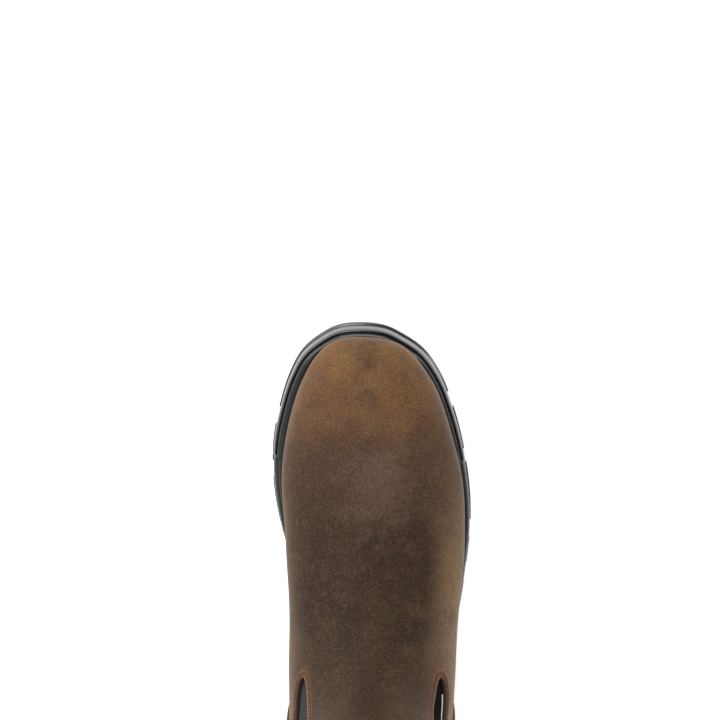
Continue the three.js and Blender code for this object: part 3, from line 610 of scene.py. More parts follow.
def on_side(points, face_side, lift=0.0):
    """Carries side-view points (from heel, height) onto the upper's face, and lifts them off it along the
    face's normal, which is 1 across and minus the face's two slopes. Returns points and normals in mm."""
    s, z = points[..., 0], points[..., 1]
    e = 0.2
    x = side_face(s, z, face_side)
    slope_s = (side_face(s + e, z, face_side) - side_face(s - e, z, face_side)) / (2 * e)
    slope_z = (side_face(s, z + e, face_side) - side_face(s, z - e, face_side)) / (2 * e)
    normal = np.stack([-slope_s, np.full_like(s, 1.0) * face_side, -slope_z], -1)
    normal /= np.linalg.norm(normal, axis=-1, keepdims=True)
    return np.stack([s, face_side * x, z], -1) + normal * lift, normal


def top_line(from_heel):
    """Height of the collar: straight from the tendon to the shin, less a dip shaped as half a sine."""
    share = np.clip(from_heel / collar_length, 0, 1)
    return collar_back + (collar_front - collar_back) * share - collar_dip * np.sin(np.pi * share)


gore_tip, gore_floor, gore_width, gore_height = 129.0, 95.0, 66.0, 83.0
# rows of gore_edge: back from the tip, and up from the floor, as shares of the cut-out's width and height
gore_edge = np.array([
    (0.6, 1), (0.54, 0.78), (0.46, 0.54), (0.3, 0.3), (0.15, 0.16), (0.045, 0.08), (0.02, 0.04),
    (0.06, 0.008), (0.16, 0), (0.27, 0.018), (0.41, 0.075), (0.62, 0.2), (0.85, 0.42), (1.02, 0.7), (1.14, 1),
])
gore_line = centripetal(
    np.column_stack([gore_tip - gore_edge[:, 0] * gore_width, gore_floor + gore_edge[:, 1] * gore_height]),
    np.linspace(0, 1, 400), False)


def within(polygon, points):
    """True where side-view points lie in a polygon: an odd number of its edges pass above them."""
    a, b = polygon, np.roll(polygon, -1, axis=0)
    s, z = points[..., 0, None], points[..., 1, None]
    crosses = (a[:, 0] > s) != (b[:, 0] > s)
    span = np.where(b[:, 0] == a[:, 0], 1, b[:, 0] - a[:, 0])
    above = z < a[:, 1] + (b[:, 1] - a[:, 1]) * (s - a[:, 0]) / span
    return (crosses & above).sum(-1) % 2 == 1


def collar_at(around):
    """Where along the form each line around it meets the collar, found by halving."""
    low, high = np.full_like(around, 11.0), np.full_like(around, last_section)
    for _ in range(36):
        at = (low + high) / 2
        p = form(at, around)
        under = p[..., 2] < top_line(p[..., 0])
        low, high = np.where(under, at, low), np.where(under, high, at)
    return at


# The leather barely creases, because the boot is new: soft folds lie across the instep where the ankle
# bends, and shallow hollows on both sides of it. A fold is (from heel, height, length across, width, depth)
# and a hollow (from heel, height, medial 1 or lateral -1, width, depth), in mm.
folds = [
    (141, 122, 17, 3.4, 0.5), (150, 113, 26, 4.6, 0.42), (162, 104, 20, 4.0, 0.3), (134, 130, 14, 3.0, 0.36)]
hollows = [(150, 82, 1, 22, 1.1), (152, 80, -1, 22, 1.0), (205, 60, 1, 26, 0.5), (206, 58, -1, 24, 0.5)]


def relief(p):
    """How far the leather stands off the form, in mm: a trough with a bell section and a low ridge beside it
    for each fold, bowed towards the toe at its ends, a round dip for each hollow, and two slow sine waves."""
    s, x, z = p[..., 0], p[..., 1], p[..., 2]
    height = np.zeros_like(s)
    for at_s, at_z, length, width, depth in folds:
        off = ((s - at_s) * 0.62 - (z - at_z) * 0.78) - 0.012 * x**2 + 1.2 * np.sin(x * 0.21 + at_s)
        height -= depth * np.exp(-((off / width) ** 2) - (x / length) ** 4)
        height += 0.5 * depth * np.exp(-(((off - 1.8 * width) / width) ** 2) - (x / length) ** 4)
    for at_s, at_z, hand, width, depth in hollows:
        near = ((s - at_s) ** 2 + (z - at_z) ** 2) / width**2
        height -= depth * np.exp(-near) * (x * hand > 0)
    return height + 0.12 * np.sin(0.11 * s + 0.07 * x) * np.sin(0.13 * x + 0.05 * z + 1)


def on_leather(points, face_side, lift=0.0):
    """Carries side-view points onto the leather's face: the form's face plus its relief and a lift."""
    p, normal = on_side(points, face_side)
    return p + normal * (relief(p) + lift)[..., None], normal


upper_rows, upper_columns = 230, 156
trial = np.linspace(0, 2, 1200)
ball_section, toe_start = 8.0, 0.35
around_all = even_steps(trial, run_of(form(ball_section, trial)), upper_columns + 1)[:-1]
along_trial = np.linspace(toe_start, collar_at(np.array([1.0]))[0], 1500)
along_steps = run_of(form(along_trial, 0.8)) + 0.02 * np.arange(len(along_trial))
along_all = even_steps(along_trial, along_steps, upper_rows)
share = (along_all - along_all[0]) / (along_all[-1] - along_all[0])
at_grid = along_all[0] + share[:, None] * (collar_at(around_all) - along_all[0])[None, :]
shell = form(at_grid, around_all[None, :])


def grid_normals(points):
    """Outward normals of a grid in (from heel, x, z): the cross product of its two directions."""
    closed = np.concatenate([points[:, -1:], points, points[:, :1]], axis=1)
    normal = np.cross(np.gradient(points, axis=0), np.gradient(closed, axis=1)[:, 1:-1])
    return normal / np.maximum(np.linalg.norm(normal, axis=-1, keepdims=True), 1e-9)


shell_normal = grid_normals(shell)
middle_out = (shell_normal * (shell - shell.mean(axis=1, keepdims=True))).sum()
shell = shell + np.sign(middle_out) * shell_normal * relief(shell)[..., None]

# The faces over the gores are left out, and the points round each hole move onto the cut-out's line.
flat_shell = shell.reshape(-1, 3)
shell_faces = grid_faces(upper_rows, upper_columns, True)
hand = np.where(flat_shell[:, 1] > 0, 1, -1)
in_gore = within(gore_line, flat_shell[:, [0, 2]]) & (np.abs(flat_shell[:, 1]) > 3)
cut = in_gore[shell_faces].any(axis=1)
rim = np.zeros(len(flat_shell), bool)
rim[shell_faces[cut].ravel()] = True
kept = np.zeros(len(flat_shell), bool)
kept[shell_faces[~cut].ravel()] = True
rim &= kept & ~in_gore
for hand_side in (1, -1):
    chosen = np.where(rim & (hand == hand_side))[0]
    gaps = np.linalg.norm(flat_shell[chosen][:, None, [0, 2]] - gore_line[None], axis=2)
    flat_shell[chosen] = on_leather(gore_line[gaps.argmin(axis=1)], hand_side)[0]

# The margin turned in under the foot is kept, and the middle stays open.
turned_in = 24.0
edge_ring = edge(np.linspace(0, 1, 400, endpoint=False))
under_line = edge_ring[0] - turned_in * edge_ring[1]
under_foot = within(under_line[:, ::-1], flat_shell[:, [0, 1]]) & (
    flat_shell[:, 2] < bed(flat_shell[:, 0]) + leather)
shell_faces = shell_faces[~cut & ~under_foot[shell_faces].all(axis=1)]


def used_only(points, faces):
    """Drops the points that no face uses, and renumbers the faces."""
    used, numbers = np.unique(faces, return_inverse=True)
    return points[used], numbers.reshape(faces.shape)


# The toe's tip is closed by triangles from the first ring to its middle.
points, kept_faces = used_only(flat_shell, shell_faces)
j = np.arange(upper_columns)
tip_faces = np.column_stack([np.full(upper_columns, len(points)), (j + 1) % upper_columns, j])
points = np.vstack([points, flat_shell[:upper_columns].mean(axis=0)])
upper = new_mesh("upper_leather", place(*points.T), kept_faces.tolist() + tip_faces.tolist())


pull_reach = 5.5
stitch_offsets = (1.6, 3.2)
stitch_pull = [1 - off / pull_reach for off in stitch_offsets[::-1]]


def leather_finish(name, vamp=True):
    """Oiled pull-up leather. Its wax brown is lighter and more ochre where the hide is drawn over the toe and
    darker up the vamp, partly the hide's tone and partly painted shade on the vamp's rising slope; it is
    darkest down the middle of the vamp, and paler on the flanks as a painted sheen. Over that lie clouds,
    reddish, olive and plum patches, a smudge and a golden place on the toe, a broad painted shade on the
    medial vamp, an orange band round the gores where the stitches pull with two dark lines of painted shade
    in its stitch grooves, fine nap and hair scratches."""
    f = Finish(name)
    cloud = f.noise(24, 3, 0.5)
    patch = f.noise(85, 4, 0.6, shift=(3, 1, 7))
    other = f.noise(60, 4, 0.6, shift=(8, 4, 1))
    small = f.noise(300, 4, 0.65, shift=(1, 5, 2))
    nap = f.noise(1700, 3, 0.65, stretch=(1, 0.5, 1))
    streak = f.noise(800, 3, 0.6, stretch=(1, 0.07, 0.4), shift=(9, 2, 4))
    if vamp:
        # The ramp along the vamp is partly the hide's tone and partly painted shade: the vamp's rising slope
        # is painted darker than the toe.
        from_toe = f.y - toe_tip + (cloud - 0.5) * 0.04 + (patch - 0.5) * 0.03
        colour = f.ramp(from_toe / 0.25, [
            (0.0, srgb(106, 77, 46)), (0.16, srgb(95, 67, 42)), (0.3, srgb(65, 45, 33)),
            (0.4, srgb(51, 35, 27)), (0.5, srgb(35, 23, 18)), (0.64, srgb(31, 21, 15)),
            (0.78, srgb(49, 35, 24)), (0.92, srgb(64, 48, 33))])
        off_middle = f.size(f.x - 0.005 + (cloud - 0.5) * 0.02)
        # The flanks are painted paler and yellower: a painted sheen of the light surroundings at the grazing
        # edges.
        flank_sheen = f.ease(off_middle, 0.032, 0.058) * f.ease(from_toe, 0.05, 0.16)
        colour = f.mix(flank_sheen * 0.68, colour, srgb(144, 115, 80))
    else:
        colour = f.mix(cloud, srgb(50, 35, 27), srgb(66, 48, 35))
    colour = f.mix(f.ease(patch, 0.5, 0.7) * 0.34, colour, srgb(80, 46, 32))
    colour = f.mix(f.ease(other, 0.5, 0.68) * 0.24, colour, srgb(80, 64, 42))
    colour = f.mix(f.ease(1 - other, 0.5, 0.68) * 0.42, colour, srgb(60, 43, 40))
    if vamp:
        ridge = f.size(f.x - 0.001 + (patch - 0.5) * 0.02)
        middle = (1 - f.ease(ridge, 0.001, 0.017)) * f.ease(from_toe, 0.1, 0.14)
        colour = f.mix(middle * 0.75, colour, srgb(30, 18, 11))
        rubbed = (1 - f.ease(f.size(f.x), 0.001, 0.009)) * f.ease(from_toe, 0.136, 0.15)
        rubbed = rubbed * (1 - f.ease(from_toe, 0.17, 0.19)) * f.ease(small, 0.4, 0.62)
        colour = f.mix(rubbed * 0.24, colour, srgb(92, 58, 31))
        pale = f.spot(0.0, toe_tip + 0.088, 0.032, patch)
        colour = f.mix(pale * 0.3, colour, srgb(108, 86, 76))
        smudge = f.spot(0.0024, toe_tip + 0.0125, 0.0105, patch)
        colour = f.mix(smudge * 0.5, colour, srgb(60, 38, 20))
        gold = f.spot(0.021, toe_tip + 0.0165, 0.013, patch)
        colour = f.mix(gold * 0.26, colour, srgb(128, 88, 34))
        # A broad painted shade on the medial half of the vamp.
        dark = f.spot(0.022, toe_tip + 0.098, 0.05, cloud)
        colour = f.mix(dark * 0.3, colour, srgb(46, 31, 24))
    pull = f.attribute("edge_pull")
    colour = f.mix(f.ease(pull, 0.02, 0.3) * 0.85, colour, srgb(118, 72, 38))
    # Two dark lines along the stitch rows: painted shade in the stitch grooves.
    for row in stitch_pull:
        groove = 1 - f.ease(f.size(pull - row), 0.03, 0.1)
        colour = f.mix(groove * 0.75, colour, srgb(40, 20, 14))
    colour = f.mix(f.ease(small, 0.54, 0.7) * 0.26, colour, srgb(40, 27, 20))
    colour = f.mix(f.ease(1 - small, 0.54, 0.7) * 0.12, colour, srgb(104, 80, 56))
    colour = f.mix(f.ease(nap, 0.45, 0.62) * 0.5, colour, srgb(38, 26, 19))
    colour = f.mix(f.ease(1 - nap, 0.48, 0.66) * 0.25, colour, srgb(116, 88, 60))
    colour = f.mix(f.ease(streak, 0.6, 0.72) * 0.16, colour, srgb(118, 96, 70))
    pores = f.add("ShaderNodeTexVoronoi", {"feature": "F1"}, {"Vector": f.object, "Scale": 1150.0})
    grain = f.noise(700, 4, 0.6)
    height = grain * 0.5 + f.ease(pores, 0.0, 0.45) * 0.5
    normal = f.bump(height, 0.00012, 0.45)
    normal = f.bump(small, 0.0005, 0.3, under=normal)
    return f.set(
        Base_Color=colour, Roughness=0.5 + 0.2 * cloud + 0.1 * small, Normal=normal, Specular_IOR_Level=0.14,
        Sheen_Weight=0.12, Sheen_Roughness=0.3, Sheen_Tint=srgb(232, 208, 168))


def lining_finish():
    """Unlined flesh side of the leather with a short nap, paler than the face."""
    f = Finish("leather_inside")
    fuzz = f.noise(900, 4, 0.7)
    colour = f.mix(f.ease(f.noise(60, 4), 0.35, 0.65), srgb(150, 112, 78), srgb(126, 92, 64))
    colour = f.mix(f.ease(fuzz, 0.4, 0.7) * 0.4, colour, srgb(92, 66, 46))
    return f.set(Base_Color=colour, Roughness=0.92, Normal=f.bump(fuzz, 0.0004, 0.5), Sheen_Weight=0.2)


def cut_edge_finish():
    """Raw cut through the hide: layered fibres in a dark brown, its own brown deepened as painted shade of
    the recess round the gores.
    """
    f = Finish("leather_cut_edge")
    fibres = f.noise(1200, 3, 0.7, stretch=(1, 1, 2))
    colour = f.mix(fibres, srgb(50, 30, 20), srgb(30, 18, 12))
    return f.set(Base_Color=colour, Roughness=0.85, Normal=f.bump(fibres, 0.0003, 0.6))


def store(piece, name, values):
    """Stores one number on each point of a piece, for its finish to read."""
    attribute = piece.data.attributes.new(name, "FLOAT", "POINT")
    attribute.data.foreach_set("value", np.ravel(values).astype(np.float32))


def mark_edge_pull(piece):
    """Stores edge_pull: 1 at the gores' edges, falling straight to 0 at the pull's reach from them. The
    distance comes from |a - b|^2 = a^2 - 2ab + b^2, taken between all points and the gores' lines."""
    points = np.empty(len(piece.data.vertices) * 3)
    piece.data.vertices.foreach_get("co", points)
    points = points.reshape(-1, 3)
    lines = np.concatenate([on_leather(gore_line[::4], hand_side)[0] for hand_side in (1, -1)])
    lines = place(*lines.T)
    square = (points**2).sum(1)[:, None] - 2 * points @ lines.T + (lines**2).sum(1)
    near = np.sqrt(np.maximum(square.min(axis=1), 0))
    store(piece, "edge_pull", np.clip(1 - near / (pull_reach * mm), 0, 1))


def add_wall(piece, thickness, offset=-1, inside=0, rim=0):
    """Makes a sheet as thick as it is in mm, behind its face at offset -1 and before it at 1. inside and rim
    say how many materials after the face's own the other side and the cut edge have."""
    wall = piece.modifiers.new("wall", "SOLIDIFY")
    wall.thickness, wall.offset, wall.use_even_offset = thickness * mm, offset, False
    wall.material_offset, wall.material_offset_rim = inside, rim


leather_face = leather_finish("oiled_leather")
leather_back, leather_cut = lining_finish(), cut_edge_finish()
mark_edge_pull(upper)
for material in (leather_face, leather_back, leather_cut):
    upper.data.materials.append(material)
outward(upper)
add_wall(upper, leather, inside=1, rim=2)
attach(upper, "root")
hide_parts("upper")


# The quarters. Two pieces of the same leather lap over the vamp at a slanting seam under each gore and wrap
# the heel; they lie one leather's skiving proud of the vamp.
seam_sole, seam_gore, seam_top = 110.0, 90.0, 68.0


def seam_front(height):
    """How far from the heel the quarters' front edge is at a height: two straight stretches."""
    return np.interp(height, [forefoot_bed, gore_floor, 2 * shaft_height], [seam_sole, seam_gore, seam_top])


# Shell points behind the seam make the quarters, and those next to it move onto its line.
quarter_lift = quarter_lap + 0.02
from_heel, height = flat_shell[:, 0], flat_shell[:, 2]
in_quarter = (from_heel < seam_front(height)) & (height > bed(from_heel) + 3)
whole = in_quarter[shell_faces].all(axis=1)
border = np.zeros(len(flat_shell), bool)
border[shell_faces[~whole].ravel()] = True
border &= in_quarter & ~rim & (height > bed(from_heel) + 6) & (height < gore_floor + 20)
border &= seam_front(height) - from_heel < 5
quarter_points = flat_shell.copy()
for hand_side in (1, -1):
    chosen = np.where(border & (hand == hand_side))[0]
    up = height[chosen]
    quarter_points[chosen] = on_leather(np.stack([seam_front(up), up], -1), hand_side)[0]
shell_outward = grid_normals(shell) * np.sign(middle_out)
quarter_points += shell_outward.reshape(-1, 3) * quarter_lift
quarter_points, quarter_faces = used_only(quarter_points, shell_faces[whole])
quarters = new_mesh("quarters", place(*quarter_points.T), quarter_faces)
outward(quarters)
mark_edge_pull(quarters)
for material in (leather_face, leather_back, leather_cut):
    quarters.data.materials.append(material)
add_wall(quarters, quarter_lap, inside=1)
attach(quarters, "root")
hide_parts("upper")


# The gores. Black ribbed elastic webbing, 1.1 mm thick, behind each cut-out, with a margin sewn to the inside
# of the leather round the cut-out's edge.
elastic_thickness, elastic_margin, elastic_ribs, elastic_top = 1.1, 6.0, 50, 175


def elastic_finish(name, face, deep, gloss):
    """Woven elastic: the stored ribs run up the shaft, and the colour is darker in the hollows between them.
    """
    f = Finish(name)
    weave = f.noise(1600, 2, 0.6, stretch=(1, 1, 0.25))
    colour = f.mix(f.attribute("rib"), deep, face)
    colour = f.mix(f.ease(weave, 0.4, 0.7) * 0.3, colour, deep)
    return f.set(
        Base_Color=colour, Roughness=0.8, Normal=f.bump(weave, 0.0002, 0.6), Specular_IOR_Level=gloss,
        Sheen_Weight=gloss * 0.3)


def make_gore(name, node, hand_side, material):
    """A grid between the cut-out's front and rear edges, widened by the hidden margin, one leather and a gap
    inside the upper's face; each column is pushed in and out by a cosine to make the ribs."""
    rows, columns = 70, 220
    low = gore_floor - 5
    bottom = gore_line[:, 1].argmin()
    front, rear = gore_line[:bottom][::-1], gore_line[bottom:]
    v = np.linspace(0, 1, rows)[:, None]
    u = np.linspace(0, 1, columns)[None, :]
    s_ends = []
    for line, sign in ((front, 1), (rear, -1)):
        z = np.maximum(low + v * (elastic_top - low), gore_floor + 6)
        s_ends.append(np.interp(z, line[:, 1], line[:, 0]) + sign * elastic_margin)
    s = s_ends[0] + (s_ends[1] - s_ends[0]) * u
    z = low + v * (top_line(s) - 0.2 - low)
    rib = np.cos(2 * np.pi * u * elastic_ribs) * np.ones_like(z)
    points, normal = on_leather(np.stack([s, z], -1), hand_side, -leather - gap - 0.1)
    points = points + normal * (0.16 * rib)[..., None]
    gore = new_mesh(name, place(*points.reshape(-1, 3).T), grid_faces(rows, columns))
    store(gore, "rib", 0.5 + 0.5 * rib)
    if hand_side < 0:
        gore.data.flip_normals()
    add_wall(gore, elastic_thickness)
    gore.data.materials.append(material)
    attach(gore, "root")
    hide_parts(node)


# One black elastic for both gores, in two painted copies: the medial one lighter as painted light, the
# lateral one darker as painted shade.
lit_webbing = elastic_finish("elastic_medial_painted_lit", srgb(46, 49, 49), srgb(17, 18, 18), 0.3)
shaded_webbing = elastic_finish("elastic_lateral_painted_shade", srgb(22, 22, 23), srgb(7, 7, 7), 0.06)
make_gore("medial_elastic", "gore_medial", 1, lit_webbing)
make_gore("lateral_elastic", "gore_lateral", -1, shaded_webbing)


# The selvedge. A pale woven edge of the lateral elastic shows as a narrow line along the cut-out's lower
# edge; it is a thin strip lying on the elastic.
selvedge_lower = gore_line[236:392:2]
strip_across = np.array([-0.6, 0.0, 0.8, 1.5])


def sideways(line):
    """Unit normals of a side-view line: its tangents turned by a right angle."""
    along = np.gradient(line, axis=0)
    along /= np.linalg.norm(along, axis=1)[:, None]
    return np.column_stack([-along[:, 1], along[:, 0]])


strip = selvedge_lower[:, None] - sideways(selvedge_lower)[:, None] * strip_across[None, :, None]
strip[..., 1] = np.minimum(strip[..., 1], top_line(strip[..., 0]) - 0.6)
points = on_leather(strip, -1, -leather - 0.05)[0]
selvedge = new_mesh("selvedge", place(*points.reshape(-1, 3).T), grid_faces(len(strip), len(strip_across)))
add_wall(selvedge, 0.25, 0)
f = Finish("selvedge_thread")
selvedge.data.materials.append(f.set(
    Base_Color=f.mix(f.noise(1500, 2, 0.5), srgb(238, 232, 230), srgb(205, 190, 188)), Roughness=0.7))
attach(selvedge, "root")


# The backstay. A strip of the same leather up the middle of the heel, sewn over the seam between the quarters
# from the midsole's lip to the collar.
backstay_thickness, backstay_width = 1.4, 25.0
sidewall_height = 18.0


def within_form(from_heel, x, height):
    """True inside the upper's form: x lies between its medial and its lateral face."""
    near = side_face(from_heel, height, 1)
    far = side_face(from_heel, height, -1)
    return (x < near) & (-x < far) & (near + far > 0)


def on_back(x, z, lift):
    """The back of the form at each (x, height), lifted off along its normal, which comes from the slopes of
    the face across and up."""
    def face(x, z):
        """How far from the heel the form starts behind a place, found by halving."""
        low, high = np.full_like(x, -5.0), np.full_like(x, 60.0)
        for _ in range(18):
            s = (low + high) / 2
            inside = within_form(s, x, z)
            low, high = np.where(inside, low, s), np.where(inside, s, high)
        return (low + high) / 2

    s, e = face(x, z), 0.4
    slope_x = (face(x + e, z) - face(x - e, z)) / (2 * e)
    slope_z = (face(x, z + e) - face(x, z - e)) / (2 * e)
    normal = np.stack([-np.ones_like(s), slope_x, slope_z], -1)
    normal /= np.linalg.norm(normal, axis=-1, keepdims=True)
    return np.stack([s, x, z], -1) + normal * lift


lip_height = outsole_top(np.array(0.0)) + sidewall_height
strip_rows, strip_columns = 90, 26
z = np.linspace(lip_height + 1, collar_back - 0.4, strip_rows)
z, across = np.meshgrid(z, np.linspace(-1, 1, strip_columns), indexing="ij")
points = on_back(across * backstay_width / 2, z, quarter_lap + gap)
backstay = new_mesh("heel_strip", place(*points.reshape(-1, 3).T), grid_faces(strip_rows, strip_columns))
store(backstay, "edge_pull", np.clip(np.abs(across) * 4 - 3.2, 0, 1))
backstay.data.flip_normals()
for material in (leather_finish("backstay_leather", False), leather_back, leather_cut):
    backstay.data.materials.append(material)
add_wall(backstay, backstay_thickness, 1, inside=1, rim=2)
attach(backstay, "root")
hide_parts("backstay")


# The pull loop. Flat dark webbing at the back of the collar: one leg is sewn over the backstay and the other
# to the inside, and the loop between them stands up.
loop_width, loop_thickness, loop_rise = 24.0, 1.8, 26.0
loop_inside, loop_outside, loop_sag = 22.0, 26.0, 1.5
loop_steps, loop_ribs, rib_depth = 220, 10, 0.12
half = loop_thickness / 2
outside = -(quarter_lap + backstay_thickness + 2 * gap + half)
inside = leather + gap + loop_sag + half


def loop_point(height, offset):
    """A point of the loop's middle line: off the back of the heel at a height."""
    back = on_back(np.array([0.0]), np.array([min(height, collar_back)]), 0)[0, 0]
    return back + offset, height


swell, loop_top = loop_rise * 0.16, collar_back + loop_rise - half
loop_line = centripetal(np.array([
    loop_point(collar_back - loop_outside, outside), loop_point(collar_back - loop_outside / 2, outside),
    loop_point(collar_back, outside), loop_point(collar_back + loop_rise * 0.55, outside - swell),
    loop_point(loop_top, (outside + inside) / 2), loop_point(collar_back + loop_rise * 0.55, inside + swell),
    loop_point(collar_back, inside), loop_point(collar_back - loop_inside / 2, inside),
    loop_point(collar_back - loop_inside, inside)]), np.linspace(0, 1, loop_steps), False)
across_line = sideways(loop_line)
u = np.linspace(-1, 1, 61)[None, :]
rounded = np.sqrt(np.clip(1 - np.abs(u) ** 12, 0, 1))
thick = (half - rib_depth + rib_depth * np.cos(2 * np.pi * u * loop_ribs)) * rounded
layers = []
for off in (thick, -thick):
    layers.append(np.stack([
        loop_line[:, 0:1] + across_line[:, 0:1] * off, u * loop_width / 2 * np.ones((loop_steps, 1)),
        loop_line[:, 1:2] + across_line[:, 1:2] * off], -1))
ring = np.concatenate([layers[0], layers[1][:, ::-1][:, 1:-1]], axis=1)
pull_loop = new_mesh("webbing_loop", place(*ring.reshape(-1, 3).T), tube_faces(*ring.shape[:2]))
outward(pull_loop)
f = Finish("webbing")
weave = f.noise(1300, 2, 0.6, stretch=(1, 1, 0.5))
colour = f.mix(f.ease(weave, 0.35, 0.7), srgb(58, 52, 46), srgb(30, 27, 25))
pull_loop.data.materials.append(f.set(
    Base_Color=colour, Roughness=0.85, Normal=f.bump(weave, 0.0003, 0.6), Sheen_Weight=0.2))
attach(pull_loop, "root")
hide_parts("pull_loop")


# The midsole. A moulded black rubber sidewall unit with a groove round it, a shoulder and a lip that meets
# the leather; the upper sits in its pocket, and the outsole's guard covers it at the toe.
lap_end = 118.0


def smoothstep(t):
    """0 below 0 and 1 above 1, with t*t*(3 - 2t) between."""
    t = np.clip(t, 0, 1)
    return t * t * (3 - 2 * t)


past_guard = np.where(edge_share < 0.5, guard_end[1], guard_end[-1]) - (sole_length - edge_s)
toe_zone = smoothstep((past_guard + 0.5) / 1.5)
lap_here = quarter_lap * smoothstep((lap_end - edge_s) / 5)


def leather_inward(height):
    """How far in from the sole's edge, along its inward normal, the upper's face is at a height, found by
    halving, less a gap and the quarters' lap."""
    low, high = np.full(edge_count, -8.0), np.full(edge_count, 34.0)
    for _ in range(15):
        d = (low + high) / 2
        p = edge_point - edge_out * d[:, None]
        inside = within_form(p[:, 1], p[:, 0], height)
        low, high = np.where(inside, low, d), np.where(inside, d, high)
    return high - gap - lap_here


# rows of sidewall: out beyond the sole's edge in mm, and up as a share of the sidewall's height
lip_start = 0.64
sidewall = np.array([
    (-1.5, 0.0), (-0.9, 0.0), (-0.3, 0.03), (0.0, 0.07), (0.2, 0.14), (0.3, 0.2), (0.22, 0.235), (-0.1, 0.25),
    (-0.5, 0.262), (-0.6, 0.29), (-0.5, 0.318), (-0.1, 0.33), (0.22, 0.345), (0.3, 0.38), (0.28, 0.44),
    (0.15, 0.51), (-0.15, 0.565), (-0.6, 0.61), (-1.15, 0.645), (-1.8, 0.665), (-2.35, 0.672), (-2.75, 0.66),
    (-2.95, 0.63), (-3.05, 0.65), (-3.05, 0.7), (-2.95, 0.76), (-2.9, 0.82), (-2.95, 0.9), (-3.1, 0.95),
    (-3.35, 0.985), (-3.7, 1.0), (-7.0, 1.0),
])
rings = []
base = outsole_top(edge_s)
for out, up in sidewall:
    height = base + up * sidewall_height
    at_toe = min(out, -1.6) if up < 0.7 else out + 0.75
    inward = out + (at_toe - out) * toe_zone
    inward = np.maximum(inward, -leather_inward(np.minimum(height, base + sidewall_height - 0.1)))
    rings.append(at_height(edge_point + edge_out * inward[:, None], height))
bed_here = bed(edge_s)
top_here = base + sidewall_height
# the pocket's wall follows the leather down to its floor
for share_up in (0.85, 0.68, 0.5, 0.33, 0.18, 0.08):
    height = bed_here + (top_here - bed_here) * share_up
    rings.append(at_height(edge_point - edge_out * leather_inward(height)[:, None], height))
p = edge_point - edge_out * (leather_inward(bed_here + 0.5) + 1.0)[:, None]
rings.append(at_height(p, bed(p[:, 1]) - gap - quarter_lap * (p[:, 1] < lap_end)))
points = np.concatenate(rings)
midsole = new_mesh("sole_unit", place(*points.T), tube_faces(len(rings), edge_count))
# the lip is dull, except at the front of the toe
dull = (sidewall[:, 1] > lip_start)[:, None] * smoothstep((sole_length - 12 - edge_s) / 10)
store(midsole, "dull", np.append(dull.ravel(), np.ones(len(points) - dull.size)))
outward(midsole)
midsole.data.materials.append(rubber_finish("midsole_rubber", srgb(24, 26, 28), srgb(38, 40, 41), 0.3))
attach(midsole, "root")
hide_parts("midsole")


# The insole. A thin moulded footbed with a dark fabric top and rounded edges, lying loose inside the upper on
# the margin that is turned in. Its rows: in from its edge, and up from the bed, in mm.
insole_rows = [
    (1.4, 2.5), (0.5, 2.55), (0.1, 2.9), (0.0, 3.6), (0.0, 5.8), (0.12, 6.5), (0.5, 6.92), (1.4, 7.0)]
insole_in = leather_inward(bed_here + 6) + lap_here + leather + 2 * gap + 0.4
rings = []
for inset, up in insole_rows:
    rings.append(at_height(edge_point - edge_out * (insole_in + inset)[:, None], bed_here + up))
insole = new_mesh("footbed", place(*np.concatenate(rings).T), tube_faces(len(rings), edge_count))
outward(insole)
f = Finish("footbed_fabric")
weave = f.noise(1500, 3, 0.6)
colour = f.mix(weave, srgb(38, 38, 40), srgb(70, 68, 66))
insole.data.materials.append(f.set(Base_Color=colour, Roughness=0.9, Normal=f.bump(weave, 0.0003, 0.6)))
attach(insole, "root")
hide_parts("insole")


# The stitching. Brown waxed thread: two rows round each gore and down each quarter's front edge, one under
# the collar and one along each side of the backstay. Each stitch is its own short ellipsoid, with both ends
# sunk in the leather.
thread_radius, stitch_pitch = 0.42, 2.5


def stitch_row(path, normals):
    """Stitches along a path in mm: ellipsoids of five rings of eight points whose middles stand one pitch
    apart along the path, lifted by a parabola so that their ends go down into the leather."""
    run = run_of(path)
    middle = (np.arange(int(run[-1] / stitch_pitch)) + 0.5) * stitch_pitch

    def read(values, at):
        """Values at lengths along the path, straight between its points."""
        return np.column_stack([np.interp(at, run, values[:, k]) for k in range(3)])

    along = read(path, middle + 0.4) - read(path, middle - 0.4)
    along /= np.linalg.norm(along, axis=1)[:, None]
    up = read(normals, middle)
    across = np.cross(along, up)
    across /= np.linalg.norm(across, axis=1)[:, None]
    u = np.array([-0.97, -0.6, 0, 0.6, 0.97])[:, None]
    turn_round = np.linspace(0, 2 * np.pi, 8, endpoint=False)[None, :]
    thick = thread_radius * np.sqrt(1 - u**2)
    lift = 0.8 * thick * np.sin(turn_round) + 0.16 - 0.3 * u**2
    length = (u + 0 * turn_round) * stitch_pitch * 0.44
    points = read(path, middle)[:, None, None, :]
    for direction, amount in ((along, length), (across, thick * np.cos(turn_round)), (up, lift)):
        points = points + direction[:, None, None, :] * amount[None, :, :, None]
    faces = tube_faces(5, 8)[None] + 40 * np.arange(len(middle))[:, None, None]
    return points.reshape(-1, 3), faces.reshape(-1, 4)


def lap_at(from_heel, height):
    """How far the quarters stand off the vamp's face at a place in side view: nothing ahead of their seam."""
    return np.where(from_heel < seam_front(height), quarter_lift, 0.0)


def side_row(line, hand_side):
    """A row on the side of the boot along a side-view line, on the quarter or on the vamp ahead of it."""
    line = line[line[:, 1] < top_line(line[:, 0]) - 0.8]
    return stitch_row(*on_leather(line, hand_side, lap_at(line[:, 0], line[:, 1])))


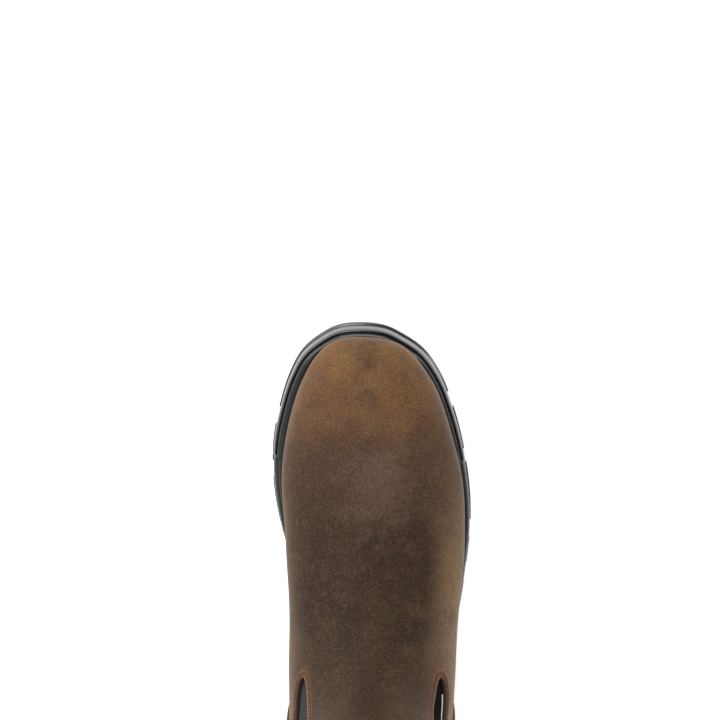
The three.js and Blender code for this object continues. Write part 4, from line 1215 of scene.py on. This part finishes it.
rows = []
for hand_side in (1, -1):
    for off in stitch_offsets:
        rows.append(side_row(gore_line + sideways(gore_line) * off, hand_side))
    for behind in (2.2, 4.4):
        z = np.linspace(forefoot_bed + 16, gore_floor + 1, 120)
        rows.append(side_row(np.column_stack([seam_front(z) - behind, z]), hand_side))

# The collar's row runs on the shell's third ring from the top, in stretches between the gores.
collar_ring, collar_normal = shell[-3], shell_outward[-3]
from_gore = np.linalg.norm(collar_ring[:, None, [0, 2]] - gore_line[None], axis=2).min(axis=1)
free = ~within(gore_line, collar_ring[:, [0, 2]]) & (from_gore > 2.5)
starts = np.where(free & ~np.roll(free, 1))[0]
for start in starts:
    order = (start + np.arange(upper_columns)) % upper_columns
    order = order[:np.argmin(free[order])] if not free.all() else order
    p = collar_ring[order]
    lap = lap_at(p[:, 0], p[:, 2])
    rows.append(stitch_row(p + collar_normal[order] * lap[:, None], collar_normal[order]))

z = np.linspace(lip_height + 4, collar_back - 3, 120)
for across_at in (-1, 1):
    x = np.full(120, across_at * (backstay_width / 2 - 2.4))
    outer = on_back(x, z, quarter_lap + gap + backstay_thickness)
    inner = on_back(x, z, 0)
    rows.append(stitch_row(outer, (outer - inner) / np.linalg.norm(outer - inner, axis=1)[:, None]))
points, faces = joined(rows)
stitching = new_mesh("stitching", place(*points.T), faces)
outward(stitching)
f = Finish("thread")
twist = f.noise(2500, 2, 0.5)
colour = f.mix(twist, srgb(66, 32, 23), srgb(38, 17, 12))
stitching.data.materials.append(f.set(Base_Color=colour, Roughness=0.55, Normal=f.bump(twist, 0.0001, 0.5)))
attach(stitching, "root")


# Studio. A white sheet lit from all round, with soft lights before the toe, overhead, at the medial side and,
# narrow, at the lateral side. They give the rim of the sole its pale line.
floor = new_mesh("floor", [(-3, -3, 0), (3, -3, 0), (3, 3, 0), (-3, 3, 0)], [(0, 1, 2, 3)], False)
paper = Finish("white_paper")
floor.data.materials.append(paper.set(
    Base_Color=(0.86, 0.86, 0.86), Roughness=0.9, Specular_IOR_Level=0.1, Emission_Color=(1, 1, 1),
    Emission_Strength=0.5))


def softbox(name, where, aim_at, size, power, colour=(1, 1, 1)):
    """An area light at a place, turned to face a point."""
    data = bpy.data.lights.new(name, "AREA")
    data.shape, data.size, data.size_y, data.energy, data.color = "RECTANGLE", size[0], size[1], power, colour
    light = bpy.data.objects.new(name, data)
    light.location = where
    light.rotation_euler = (Vector(aim_at) - Vector(where)).to_track_quat("-Z", "Y").to_euler()
    bpy.context.scene.collection.objects.link(light)


softbox("key", (0.4, -1.3, 0.9), (0, -0.05, 0.05), (0.9, 0.6), 18)
softbox("overhead", (0.1, 0.55, 1.9), (0, 0, 0.05), (1.3, 1.0), 24)
softbox("left", (1.2, -0.55, 0.62), (0, 0, 0.05), (1.2, 0.8), 9)
softbox("right", (-1.3, -0.35, 0.42), (0, 0, 0.05), (0.12, 1.0), 5)
world = bpy.data.worlds.new("studio")
bpy.context.scene.world = world
world.use_nodes = True
world.node_tree.nodes["Background"].inputs["Color"].default_value = (1, 1, 1, 1)
world.node_tree.nodes["Background"].inputs["Strength"].default_value = 0.35
bpy.context.scene.view_settings.view_transform = "Standard"
